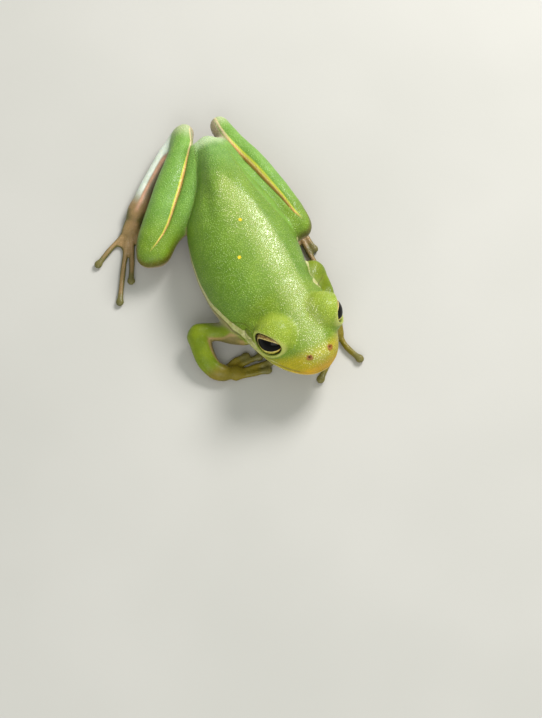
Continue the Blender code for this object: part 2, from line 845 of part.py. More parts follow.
def build_limbs(torso, head, shown, scratch):
    """Arms and legs, each parted from what it grows from and rests against."""
    limbs = []
    for side in ("right", "left"):
        upper = plain_limb("upper_arm_" + side, UPPER_ARM[side], TRIANGLES["upper_arm"], shown)
        part_from(upper, [torso, head], scratch)
        fore = plain_limb("forearm_" + side, FOREARM[side], TRIANGLES["forearm"], shown)
        part_from(fore, [upper, torso, head], scratch)
        hand = extremity(
            "hand_" + side,
            HAND[side],
            FINGER_RADII,
            FINGER_DISC,
            TRIANGLES["hand"],
            shown,
            scratch,
        )
        part_from(hand, [fore, upper, torso, head], scratch)
        thigh = plain_limb("thigh_" + side, THIGH[side], TRIANGLES["thigh"], shown)
        shank = plain_limb("shank_" + side, SHANK[side], TRIANGLES["shank"], shown)
        over, under = (shank, thigh) if side == SHANK_ON_TOP else (thigh, shank)
        part_from(over, [torso], scratch)
        part_from(under, [over, torso], scratch)
        tarsus = plain_limb("tarsus_" + side, TARSUS[side], TRIANGLES["tarsus"], shown)
        part_from(tarsus, [shank, thigh, torso], scratch)
        foot = extremity(
            "foot_" + side, FOOT[side], TOE_RADII, TOE_DISC, TRIANGLES["foot"], shown, scratch
        )
        part_from(foot, [tarsus, shank, thigh, torso, upper, fore], scratch)
        limbs += [upper, fore, hand, thigh, shank, tarsus, foot]
    return limbs


# Materials


SKIN_COLOURS = {
    "skin_back": (0.235, 0.440, 0.060),
    "skin_head": (0.300, 0.460, 0.050),
    "skin_arm": (0.330, 0.430, 0.050),
    "skin_leg": (0.220, 0.420, 0.060),
    "skin_tarsus": (0.480, 0.400, 0.300),
    "skin_digit": (0.230, 0.170, 0.080),
    "eye": (0.030, 0.025, 0.015),
}


def make_material(name):
    """A skin or eye material of one colour."""
    material = bpy.data.materials.new(name)
    material.use_nodes = True
    shader = material.node_tree.nodes["Principled BSDF"]
    red, green, blue = SKIN_COLOURS[name]
    shader.inputs["Base Color"].default_value = (red, green, blue, 1.0)
    shader.inputs["Metallic"].default_value = 0.0
    shader.inputs["Roughness"].default_value = 0.08 if name == "eye" else 0.42
    return material


def material_for(node):
    """The material name that suits a node."""
    kinds = {
        "torso": "skin_back",
        "head": "skin_head",
        "eye": "eye",
        "upper": "skin_arm",
        "forearm": "skin_arm",
        "thigh": "skin_leg",
        "shank": "skin_leg",
        "tarsus": "skin_tarsus",
        "hand": "skin_digit",
        "foot": "skin_digit",
    }
    return kinds[node.split("_")[0]]


def finish(nodes):
    """Triangulates, centres the frog over the origin and brings it to metres."""
    lows, highs = zip(*(bounds(node) for node in nodes))
    middle_x = 0.5 * (min(p.x for p in lows) + max(p.x for p in highs))
    middle_y = 0.5 * (min(p.y for p in lows) + max(p.y for p in highs))
    move = Matrix.Translation((-middle_x, -middle_y, -FLAT_LEVEL))
    shrink = Matrix.Diagonal((MILLIMETRE, MILLIMETRE, MILLIMETRE, 1.0))
    materials = {name: make_material(name) for name in SKIN_COLOURS}
    for node in nodes:
        shape = bmesh.new()
        shape.from_mesh(node.data)
        bmesh.ops.remove_doubles(shape, verts=shape.verts, dist=0.004)
        bmesh.ops.dissolve_degenerate(shape, edges=shape.edges, dist=0.004)
        bmesh.ops.triangulate(shape, faces=shape.faces)
        bmesh.ops.transform(shape, matrix=shrink @ move, verts=shape.verts)
        bmesh.ops.recalc_face_normals(shape, faces=shape.faces)
        shape.to_mesh(node.data)
        shape.free()
        node.data.materials.clear()
        node.data.materials.append(materials[material_for(node.name)])
        node.data.name = node.name


def main():
    """Builds every solid of the frog."""
    clear_scene()
    shown = new_collection("tree_frog")
    scratch = new_collection("cutters", shown=False)
    core = build_core(scratch)
    head, torso = split_core(core, scratch, shown)
    plain_head = copy_of(head, "plain_head", scratch)
    finish_head(head, scratch)
    eyes = [
        build_eye("eye_right", -1, shown, scratch),
        build_eye("eye_left", 1, shown, scratch),
    ]
    level_off(torso, scratch)
    level_off(head, scratch)
    limbs = build_limbs(torso, plain_head, shown, scratch)
    bpy.data.objects.remove(plain_head, do_unlink=True)
    for piece in limbs:
        level_off(piece, scratch)
    finish([torso, head] + eyes + limbs)
    bpy.data.collections.remove(scratch)


main()
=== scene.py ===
"""The looks of a green tree frog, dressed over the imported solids.

Sizes and places are in millimetres in the frog's own frame: its left side is +X, it faces -Y, the
floor is z = 0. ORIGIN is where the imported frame's origin lies in that frame.
"""

import math

import bpy
import numpy as np
import openvdb as vdb
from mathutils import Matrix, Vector

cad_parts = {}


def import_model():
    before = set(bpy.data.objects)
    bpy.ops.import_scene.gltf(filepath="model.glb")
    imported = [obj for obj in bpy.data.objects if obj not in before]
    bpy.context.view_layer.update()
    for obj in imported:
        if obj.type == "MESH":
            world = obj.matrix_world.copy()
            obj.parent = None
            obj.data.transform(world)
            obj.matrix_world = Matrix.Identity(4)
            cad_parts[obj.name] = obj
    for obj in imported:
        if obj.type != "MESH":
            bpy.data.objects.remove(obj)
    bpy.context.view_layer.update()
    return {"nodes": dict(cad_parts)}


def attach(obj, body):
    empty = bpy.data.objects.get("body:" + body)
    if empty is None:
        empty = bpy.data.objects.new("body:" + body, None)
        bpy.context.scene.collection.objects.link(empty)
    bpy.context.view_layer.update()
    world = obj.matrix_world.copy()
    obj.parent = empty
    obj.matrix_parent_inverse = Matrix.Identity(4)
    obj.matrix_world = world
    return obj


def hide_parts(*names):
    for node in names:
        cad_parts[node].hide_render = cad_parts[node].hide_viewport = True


MILLIMETRE = 0.001
ORIGIN = np.array((-5.00485, -4.55761, 0.0))

# Grid on which the skin is worked out
VOXEL = 0.13
REACH = 3.2
SKIN_TRIANGLES = 195000

# Attitude of the head: its frame has x to the frog's left, y forward and z up from the mouth line
HEAD_ORIGIN = np.array((1.25, -16.15, 3.25))
HEAD_YAW = math.radians(13.0)
HEAD_PITCH = math.radians(11.0)
HEAD_ROLL = math.radians(-5.0)
NECK_FORWARD = -1.0
NECK_BRIDGE = 0.4
HEAD_FINE_FROM = -2.0
HEAD_FINE_SPAN = 3.5

# Eyes, in the head frame for the left side
EYE_CENTRE = np.array((4.08, 5.4, 3.7))
EYE_AXIS = np.array((0.91, 0.345, 0.22)) / math.sqrt(0.91**2 + 0.345**2 + 0.22**2)
EYE_ROLL = math.radians(8.4)
EYE_RADIUS = 2.42
EYE_DEPTH = 2.58
LID_RADIUS = 3.05
LID_INWARD = 0.2
OPENING = (2.12, 1.46)
LID_FLARE = 0.12
PUPIL = (1.70, 0.85)
PUPIL_SHIFT = (0.30, 0.10)

# Small forms of the head
NOSTRIL = np.array((1.70, 10.6, 3.12))
EAR_CENTRE = np.array((6.1, 1.5, 1.75))
EAR_AXIS = np.array((0.97, -0.05, 0.26)) / math.sqrt(0.97**2 + 0.05**2 + 0.26**2)
EAR_RADIUS = 0.84
MOUTH_CORNER = 0.9
EAR_FOLD = ((2.5, 3.3), (1.7, 3.25), (0.8, 3.15), (-0.2, 2.75), (-0.9, 2.3))

# Midline of the back, the hollows beside the hips with their line of painted shade, and the zone of painted
# glints and sheen on the back, as y and x
SPINE = ((16.0, 0.0), (12.0, -0.2), (6.0, -0.1), (-1.0, 0.0), (-8.0, 0.4), (-14.0, 1.1), (-20.0, 1.9))
VALLEY = ((13.0, 0.9), (11.0, 1.1), (8.0, 1.7), (4.2, 2.4), (0.8, 3.0), (-3.0, 3.6))
HOLLOW = ((13.0, 0.6), (11.0, 0.9), (8.0, 1.8), (4.2, 2.75), (0.8, 3.5), (-3.0, 4.3))
GLINT_LEFT = (
    (7.0, -0.6), (6.1, -0.4), (2.5, 1.1), (-0.7, 2.8), (-3.5, 3.5), (-6.3, 4.1), (-10.3, 4.8), (-14.0, 5.4),
)
GLINT_RIGHT = (
    (7.0, -0.8), (4.3, -1.5), (1.4, -2.9), (-1.8, -3.7), (-4.5, -3.2), (-6.8, -1.2), (-11.7, -0.6),
    (-16.5, 0.0),
)

# Relief worked into the skin: height or depth, then width
HOLLOW_RELIEF = (0.20, 0.75)
SPINE_RELIEF = (0.06, 0.6)
LIP_RELIEF = (0.07, 0.24)
LIP_LEVEL = 0.34
LEDGE_RELIEF = (0.30, 0.50)
LEDGE_LEVEL = 0.68
MOUTH_HALF = 0.15
MOUTH_DEPTH = 0.4
NOSTRIL_RELIEF = (0.10, 0.24)
NOSTRIL_RIM = 0.34
NOSTRIL_HOLE = 0.17
EYE_RINGS = 48
EYE_SIDES = 64

# How far facets are softened on the trunk, the head, the limbs and the hands and feet
SOFT_TRUNK = 0.95
SOFT_HEAD = 0.35
SOFT_LIMB = 0.42
SOFT_DIGIT = 0.17
FULLNESS = 0.06

# Joints, each with two ends, a radius and how widely the limbs flow into each other there
JOINTS = {
    "hip_right": ((-1.4, 11.5, 4.8), (-2.0, 10.3, 4.7), 1.3, 1.0),
    "knee_right": ((-11.6, -0.6, 3.4), (-12.8, -0.5, 3.6), 1.55, 1.2),
    "heel_right": ((-2.25, 16.35, 3.1), (-3.05, 16.1, 2.4), 1.1, 1.0),
    "ankle_right": ((-11.3, 8.7, 1.2), (-12.7, 7.1, 1.0), 0.95, 1.2),
    "shoulder_right": ((-4.8, -17.0, 3.0), (-6.2, -16.4, 3.0), 1.1, 1.2),
    "elbow_right": ((-10.4, -14.6, 2.8), (-10.75, -15.1, 2.6), 1.1, 1.0),
    "wrist_right": ((-10.0, -20.1, 1.1), (-8.9, -20.9, 0.95), 0.8, 1.1),
    "hip_left": ((2.0, 11.4, 4.8), (2.5, 9.8, 4.8), 1.2, 1.0),
    "knee_left": ((7.75, -3.9, 4.6), (8.35, -3.7, 4.7), 1.5, 1.2),
    "heel_left": ((3.3, 15.8, 3.4), (3.6, 15.5, 2.4), 1.0, 1.0),
    "ankle_left": ((7.1, 4.5, 1.15), (7.6, 2.6, 1.0), 0.9, 1.2),
    "shoulder_left": ((5.4, -15.6, 4.2), (6.4, -14.3, 4.3), 1.1, 1.2),
    "elbow_left": ((8.2, -11.1, 4.0), (8.4, -11.4, 3.6), 0.95, 1.0),
    "wrist_left": ((8.5, -17.2, 1.1), (8.5, -18.6, 0.9), 0.75, 1.1),
}
JOINT_REACH = 0.9
TOUCH_BLEND = 0.9

# Pairs of solids with a crease of skin between them, and how deep it is
CREASES = (
    ("thigh_right", "torso", 0.06),
    ("thigh_left", "torso", 0.05),
    ("shank_right", "thigh_right", 0.14),
    ("shank_left", "thigh_left", 0.11),
    ("tarsus_right", "shank_right", 0.10),
    ("tarsus_left", "shank_left", 0.10),
    ("upper_arm_right", "torso", 0.08),
    ("upper_arm_left", "torso", 0.08),
    ("forearm_right", "upper_arm_right", 0.08),
)
CREASE_WIDTH = 0.15

# Lines of painted shade between solids: a name, the inner solid and the outer ones
FOLDS = (
    ("hip_fold", "thigh", ("torso",)),
    ("heel_fold", "tarsus", ("shank", "thigh")),
    ("arm_fold", "upper_arm", ("torso", "head")),
)

# The pale stripe: y and height along the flank, forward and height along the lip in the head frame
FLANK_STRIPE = (
    (14.0, 4.7), (8.0, 5.1), (2.0, 5.3), (-3.0, 5.35), (-6.0, 5.25),
    (-9.0, 5.15), (-11.0, 5.2), (-12.5, 5.45), (-14.0, 5.75), (-15.2, 5.7),
)
LIP_STRIPE = (
    (-0.6, 1.45), (0.4, 1.2), (1.5, 1.05), (3.0, 0.92), (5.0, 0.74), (7.0, 0.60), (8.6, 0.56), (10.0, 0.55),
)
STRIPE_FADE = (2.5, -3.5)
STRIPE_HALF = (
    (14.0, 0.0), (1.0, 0.02), (-3.0, 0.25), (-8.0, 0.48), (-13.0, 0.46),
    (-16.0, 0.45), (-18.5, 0.56), (-20.5, 0.52), (-23.0, 0.36), (-24.8, 0.05),
)

# Lines on the legs and beside the hip, which carry markings and painted shade, over the floor, and the discs
# of the digits
LEG_LINE = {
    "right": (
        (-1.05, 16.4), (-1.45, 14.5), (-2.0, 13.2), (-2.73, 11.84), (-3.93, 9.73), (-5.16, 7.58),
        (-6.04, 6.19), (-7.28, 4.48), (-8.25, 3.10), (-9.28, 1.78), (-10.41, 0.61), (-11.78, -0.49),
        (-13.04, -1.30),
    ),
    "left": (
        (2.70, 16.9), (2.74, 15.3), (2.95, 13.5), (3.25, 11.7), (3.96, 9.1), (4.99, 6.2), (6.0, 3.3),
        (7.15, 0.2), (8.08, -2.9), (8.9, -4.5),
    ),
}
LEG_LINE_END = {"right": (-1.5, 0.2), "left": (-4.3, -2.5)}
LEG_LINE_WIDE = {"right": (0.62, 7.5, 5.5), "left": (1.0, 6.5, 6.5)}
HIP_LINE = (
    (2.3, 12.0), (2.35, 11.2), (2.56, 7.4), (2.95, 4.5), (3.57, 2.1), (4.58, -0.8), (5.83, -3.5), (6.9, -5.1),
)
DISCS = (
    (-5.0, -19.2), (-3.2, -19.9), (-1.9, -21.2), (-2.8, -22.3),
    (5.2, -20.6), (4.9, -23.0), (3.8, -26.1), (10.1, -24.9),
    (-12.1, 1.9), (-13.6, 0.8), (-16.5, -2.3), (-19.1, -5.0), (-20.1, 1.8),
    (5.6, -3.0), (6.2, -5.2), (7.5, -8.0), (9.7, -10.6), (10.0, -6.2),
)
SPOTS = ((-0.21, -3.38, 10.6), (-2.26, -8.89, 10.4))
TARSUS_WHITE = {"right": 1.0, "left": 0.6}

# Colours of the skin, linear; some carry painted shade and painted highlights, as noted
TONES = {
    "back": (0.165, 0.315, 0.024),
    "back_mid": (0.240, 0.395, 0.045),
    # Painted shade in the hollows beside the hips
    "valley": (0.120, 0.235, 0.018),
    # Painted shade on the flanks, where they turn away from the light
    "flank": (0.130, 0.250, 0.018),
    "rump": (0.205, 0.415, 0.085),
    # Pale rim round the vent, partly the skin's own colour, partly a painted highlight
    "rump_edge": (0.62, 0.78, 0.50),
    "head": (0.205, 0.330, 0.016),
    # Lid tops: yellower green, partly the skin's own colour, partly a painted highlight
    "lid": (0.345, 0.460, 0.040),
    "snout": (0.520, 0.430, 0.001),
    "lip": (0.560, 0.310, 0.001),
    "cheek": (0.300, 0.330, 0.004),
    "throat": (0.560, 0.500, 0.240),
    "belly": (0.640, 0.590, 0.450),
    "low_flank": (0.330, 0.290, 0.140),
    "leg": (0.205, 0.410, 0.070),
    "leg_low": (0.180, 0.290, 0.012),
    "knee": (0.130, 0.125, 0.003),
    "heel": (0.560, 0.620, 0.400),
    "heel_inner": (0.50, 0.42, 0.30),
    "under_leg": (0.420, 0.300, 0.190),
    "tarsus_outer": (0.82, 0.90, 0.86),
    "tarsus_line": (0.60, 0.34, 0.24),
    "tarsus_inner": (0.150, 0.135, 0.090),
    # Toes: lighter tops and darker sides, partly their own colour, partly painted highlight and painted shade
    "foot": (0.310, 0.205, 0.095),
    "foot_dark": (0.130, 0.125, 0.035),
    "disc": (0.150, 0.140, 0.045),
    "arm": (0.170, 0.240, 0.003),
    "arm_rear": (0.26, 0.235, 0.15),
    "arm_inner": (0.185, 0.150, 0.055),
    "arm_line": (0.400, 0.240, 0.130),
    "hand": (0.200, 0.160, 0.012),
    "ear": (0.165, 0.215, 0.022),
}

# Colours of the markings, of painted shade and of painted highlights, linear
MARKS = {
    "grain": (0.75, 0.85, 0.35),
    # Painted highlights: a lighter sheen and glints on the grains where the back catches the light
    "sheen": (0.50, 0.62, 0.17),
    "fleck": (0.98, 0.99, 0.62),
    # Painted shade in the creases and along the folds between solids
    "crease": (0.075, 0.050, 0.014),
    "fold": (0.17, 0.17, 0.025),
    "stripe_rim": (0.13, 0.11, 0.03),
    "stripe_dull": (0.46, 0.47, 0.17),
    "stripe": (0.62, 0.60, 0.30),
    "lid": (0.56, 0.58, 0.16),
    # Painted shade at the edge of the lid's opening
    "lid_edge": (0.055, 0.040, 0.015),
    "nostril": (0.30, 0.075, 0.010),
    # Painted shade in the nostril holes
    "nostril_hole": (0.07, 0.018, 0.006),
    "ear_fold": (0.11, 0.075, 0.012),
    "ear_ring": (0.07, 0.075, 0.012),
    # Painted shade along the mouth line
    "mouth": (0.12, 0.06, 0.012),
    "spot": (0.95, 0.68, 0.01),
}

# Streaks of the leg lines: middle, half width, softness, strength, colour on the leg and at the heel
LEG_STREAKS = (
    (0.63, 0.15, 0.14, 0.85, (0.74, 0.72, 0.07), (0.80, 0.70, 0.34)),
    (0.37, 0.13, 0.10, 0.85, (0.86, 0.54, 0.22), (0.78, 0.62, 0.42)),
    (0.16, 0.10, 0.08, 0.90, (0.56, 0.24, 0.06), (0.60, 0.42, 0.27)),
)

# Camera as in the photograph
CAMERA_AIM = (-1.68509, -20.57144, 0.0)
CAMERA_TURN = math.radians(-19.5)
CAMERA_RISE = math.radians(64.0)
CAMERA_DISTANCE = 450.0
CAMERA_LENS = 159.0

# Lights: the place that they face, then each one's place, size, power and colour
LIGHT_AIM = (-3.0, -4.0, 4.0)
LIGHTS = {
    "key": ((190.0, 120.0, 215.0), (120.0, 120.0), 1.1, (1.0, 0.97, 0.92)),
    "fill": ((-90.0, -270.0, 190.0), (240.0, 240.0), 0.55, (1.0, 0.99, 0.95)),
}
SKY_COLOUR = (0.97, 1.0, 0.90, 1.0)
SKY_STRENGTH = 0.45
FLOOR_HALF = 1.5


# Frames


def head_axes():
    """The head's left, forward and up directions in the frog's frame."""
    left = np.array((math.cos(HEAD_YAW), math.sin(HEAD_YAW), 0.0))
    ahead = np.array((math.sin(HEAD_YAW), -math.cos(HEAD_YAW), 0.0))
    up = np.array((0.0, 0.0, 1.0))
    forward = ahead * math.cos(HEAD_PITCH) + up * math.sin(HEAD_PITCH)
    crown = up * math.cos(HEAD_PITCH) - ahead * math.sin(HEAD_PITCH)
    side = left * math.cos(HEAD_ROLL) + crown * math.sin(HEAD_ROLL)
    crown = crown * math.cos(HEAD_ROLL) - left * math.sin(HEAD_ROLL)
    return np.array((side, forward, crown))


HEAD_AXES = head_axes()


def to_head(points):
    """Points of the frog's frame in the head frame."""
    return (points - HEAD_ORIGIN) @ HEAD_AXES.T


def from_head(points):
    """Points of the head frame in the frog's frame."""
    return np.asarray(points) @ HEAD_AXES + HEAD_ORIGIN


def on_side(point, side):
    """A left-side point or direction, moved to the right where side is -1."""
    return np.array((point[0] * side, point[1], point[2]))


def across_and_up(axis, roll=0.0):
    """Two directions square to an axis: along the eye's slit and up."""
    across = np.cross((0.0, 0.0, 1.0), axis)
    across /= np.linalg.norm(across)
    rise = np.cross(axis, across)
    turned = across * math.cos(roll) + rise * math.sin(roll)
    return turned, rise * math.cos(roll) - across * math.sin(roll)


# Distance fields


def ease(t):
    """An even ease from 0 to 1."""
    t = np.clip(t, 0.0, 1.0)
    return t * t * (3.0 - 2.0 * t)


def bump(distance, width):
    """A smooth hill of height 1 at distance 0."""
    return np.exp(-((distance / width) ** 2))


def relief(form, distance, share):
    """A hill of the form's height and width, where the share is 1."""
    return (form[0] * bump(distance, form[1]) * share).astype(np.float32)


def soft_min(a, b, width):
    """Joins two fields with a rounded valley."""
    share = np.maximum(width - np.abs(a - b), 0.0) / width
    return np.minimum(a, b) - share * share * width * 0.25


def soft_max(a, b, width):
    """Cuts one field by another with a rounded edge."""
    return -soft_min(-a, -b, width)


def blurred(values, sigma):
    """The field after an even softening."""
    radius = int(3.0 * sigma / VOXEL + 0.5)
    steps = np.arange(1, radius + 1) * VOXEL
    weights = np.exp(-0.5 * (steps / sigma) ** 2)
    whole = 1.0 + 2.0 * weights.sum()
    for axis in range(3):
        pad = [(0, 0)] * 3
        pad[axis] = (radius, radius)
        wide = np.moveaxis(np.pad(values, pad, mode="edge"), axis, 0)
        count = values.shape[axis]
        total = wide[radius : radius + count] * np.float32(1.0 / whole)
        for step, weight in enumerate(weights, 1):
            pair = wide[radius - step : radius - step + count] + wide[radius + step : radius + step + count]
            pair *= np.float32(weight / whole)
            total += pair
        values = np.ascontiguousarray(np.moveaxis(total, 0, axis))
    return values


def softened(values, sigma):
    """Softening that smooths facets away but hardly shrinks the form."""
    once = blurred(values, sigma)
    return 2.0 * once - blurred(once, sigma)


def along(table, values):
    """A curve given by pairs, read at any values of the first number."""
    pairs = sorted(table)
    return np.interp(values, [pair[0] for pair in pairs], [pair[1] for pair in pairs])


def solid_field(obj, margin):
    """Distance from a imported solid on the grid: the lowest grid corner and the values."""
    mesh = obj.data
    points = np.empty(len(mesh.vertices) * 3, np.float32)
    mesh.vertices.foreach_get("co", points)
    points = (points.reshape(-1, 3) / MILLIMETRE + ORIGIN).astype(np.float32)
    mesh.calc_loop_triangles()
    triangles = np.empty(len(mesh.loop_triangles) * 3, np.int32)
    mesh.loop_triangles.foreach_get("vertices", triangles)
    grid = vdb.FloatGrid.createLevelSetFromPolygons(
        points,
        triangles=triangles.reshape(-1, 3).astype(np.uint32),
        transform=vdb.createLinearTransform(VOXEL),
        halfWidth=REACH / VOXEL,
    )
    low = np.floor((points.min(0) - margin) / VOXEL).astype(int)
    high = np.ceil((points.max(0) + margin) / VOXEL).astype(int)
    values = np.full(high - low, REACH, np.float32)
    grid.copyToArray(values, ijk=tuple(int(v) for v in low))
    return low, values


def grid_points(low, shape):
    """The places of a block of grid points."""
    axes = [(np.arange(n) + start) * VOXEL for start, n in zip(low, shape)]
    return np.stack(np.meshgrid(*axes, indexing="ij"), axis=-1).astype(np.float32)


def sample(low, values, points):
    """The field's values at any points, by straight interpolation."""
    place = points / VOXEL - low
    cell = np.floor(place).astype(int)
    inside = np.all((cell >= 0) & (cell < np.array(values.shape) - 1), axis=-1)
    cell = np.clip(cell, 0, np.array(values.shape) - 2)
    part = place - cell
    total = np.zeros(points.shape[:-1])
    for corner in range(8):
        step = np.array((corner & 1, corner >> 1 & 1, corner >> 2 & 1))
        weight = np.prod(np.where(step == 1, part, 1.0 - part), axis=-1)
        at = cell + step
        total += weight * values[at[..., 0], at[..., 1], at[..., 2]]
    return np.where(inside, total, REACH)


class Skin:
    """The frog's distance field on one grid."""

    def __init__(self, low, high):
        self.low = np.array(low)
        self.shape = np.array(high) - self.low
        self.values = np.full(self.shape, REACH, np.float32)

    def window(self, low, shape):
        """The part of the grid that a block covers."""
        start = np.array(low) - self.low
        return tuple(slice(int(s), int(s + n)) for s, n in zip(start, shape))


def from_line(points, start, end):
    """Distance from the straight line between two places."""
    start = np.array(start, np.float32)
    run = np.array(end, np.float32) - start
    share = np.clip(((points - start) @ run) / (run @ run), 0.0, 1.0)
    return np.linalg.norm(points - start - share[..., None] * run, axis=-1)


def beside(points, route):
    """Distance over the floor from a route, less than 0 on its left."""
    best = np.full(points.shape[:-1], 1e9)
    signed = np.zeros(points.shape[:-1])
    for start, end in zip(route[:-1], route[1:]):
        run = np.array(end) - np.array(start)
        length = np.linalg.norm(run)
        offset = points[..., :2] - np.array(start)
        share = np.clip(offset @ run / length**2, 0.0, 1.0)
        away = np.linalg.norm(offset - share[..., None] * run, axis=-1)
        turn = run[0] * offset[..., 1] - run[1] * offset[..., 0]
        closer = away < best
        best = np.where(closer, away, best)
        signed = np.where(closer, np.where(turn > 0.0, -away, away), signed)
    return signed


def beside_leg(points, side):
    """Distance from a leg's line, more than 0 on the shank."""
    signed = beside(points, LEG_LINE[side])
    return signed if side == "right" else -signed


def joint_share(points):
    """How much each place belongs to a joint, from 0 to 1."""
    share = np.zeros(points.shape[:-1], np.float32)
    for start, end, radius, _ in JOINTS.values():
        away = np.maximum(from_line(points, start, end) - radius, 0.0)
        share = np.maximum(share, bump(away, JOINT_REACH))
    return share


def near_joint(skin, start, end, radius):
    """The grid block around a joint and each point's distance from its core."""
    ends = np.array((start, end))
    reach = radius + 2.2 * JOINT_REACH
    low = np.maximum(np.floor((ends.min(0) - reach) / VOXEL).astype(int), skin.low)
    high = np.minimum(np.ceil((ends.max(0) + reach) / VOXEL).astype(int), skin.low + skin.shape)
    return low, high - low, from_line(grid_points(low, high - low), start, end) - radius


def united(skin, fields):
    """All solids joined: cuts are filled and limbs flow into each other at the joints."""
    width = np.full(skin.shape, TOUCH_BLEND, np.float32)
    cores = [near_joint(skin, *joint[:3]) for joint in JOINTS.values()]
    for (low, shape, away), joint in zip(cores, JOINTS.values()):
        window = skin.window(low, shape)
        width[window] += joint[3] * bump(np.maximum(away, 0.0), JOINT_REACH)
    values = np.full(skin.shape, REACH, np.float32)
    for low, field in fields.values():
        window = skin.window(low, field.shape)
        values[window] = soft_min(values[window], field, width[window])
    for low, shape, away in cores:
        window = skin.window(low, shape)
        values[window] = soft_min(values[window], away, 0.6)
    return values


def nearest(skin, fields, names):
    """Distance from the nearest of the named solids."""
    values = np.full(skin.shape, REACH, np.float32)
    for name in names:
        low, field = fields[name]
        window = skin.window(low, field.shape)
        values[window] = np.minimum(values[window], field)
    return values


def crease(skin, fields):
    """Presses a crease into the skin along the line where two solids meet."""
    for first, second, depth in CREASES:
        low = np.maximum(fields[first][0], fields[second][0])
        high = np.minimum(
            fields[first][0] + fields[first][1].shape, fields[second][0] + fields[second][1].shape
        )
        if np.any(high <= low):
            continue
        blocks = []
        for name in (first, second):
            start, values = fields[name]
            blocks.append(values[tuple(slice(a, b) for a, b in zip(low - start, high - start))])
        window = skin.window(low, high - low)
        points = grid_points(low, high - low)
        gap = blocks[0] - blocks[1]
        if first.startswith("shank"):
            gap = beside_leg(points, first[6:])
        free = (1.0 - joint_share(points)) * ease((1.6 - np.maximum(blocks[0], blocks[1])) / 0.8)
        skin.values[window] += (depth * bump(gap, CREASE_WIDTH) * free).astype(np.float32)


def core_field(torso, head):
    """Torso and head as one softened form, with the neck's cut and the eye sockets closed."""
    low = np.minimum(torso[0], head[0])
    high = np.maximum(torso[0] + torso[1].shape, head[0] + head[1].shape)
    values = np.full(high - low, REACH, np.float32)
    for start, field in (torso, head):
        window = tuple(slice(int(s), int(s + n)) for s, n in zip(start - low, field.shape))
        values[window] = np.minimum(values[window], field)
    points = grid_points(low, values.shape)
    forward = (points - HEAD_ORIGIN.astype(np.float32)) @ HEAD_AXES[1].astype(np.float32)
    offset = forward - NECK_FORWARD
    inside = np.abs(offset) < NECK_BRIDGE
    chosen = points[inside]
    away = offset[inside][:, None]
    before = sample(low, values, chosen - HEAD_AXES[1] * (away + NECK_BRIDGE))
    after = sample(low, values, chosen + HEAD_AXES[1] * (NECK_BRIDGE - away))
    share = ease(0.5 + 0.5 * away[:, 0] / NECK_BRIDGE)
    values[inside] = before * (1.0 - share) + after * share
    for side in (-1.0, 1.0):
        centre = from_head(on_side(EYE_CENTRE - EYE_AXIS * LID_INWARD, side)).astype(np.float32)
        values = np.minimum(values, np.linalg.norm(points - centre, axis=-1) - LID_RADIUS)
    wide = softened(values, SOFT_TRUNK)
    fine = softened(values, SOFT_HEAD)
    share = ease((forward - HEAD_FINE_FROM) / HEAD_FINE_SPAN)
    return low, wide * (1.0 - share) + fine * share


def shape_back(values, points):
    """Hollows beside the spine, over the hips."""
    y = points[..., 1]
    spine = along(SPINE, y)
    hollow = along(HOLLOW, y)
    reach = ease((13.5 - y) / 3.0) * ease((y + 4.5) / 5.0) * ease((points[..., 2] - 4.5) / 2.0)
    for side in (-1.0, 1.0):
        values += relief(HOLLOW_RELIEF, points[..., 0] - spine - hollow * side, reach)
    ridge = ease((12.5 - y) / 3.0) * ease((y - 3.0) / 4.0) * ease((points[..., 2] - 4.5) / 2.0)
    values -= relief(SPINE_RELIEF, points[..., 0] - spine, ridge)


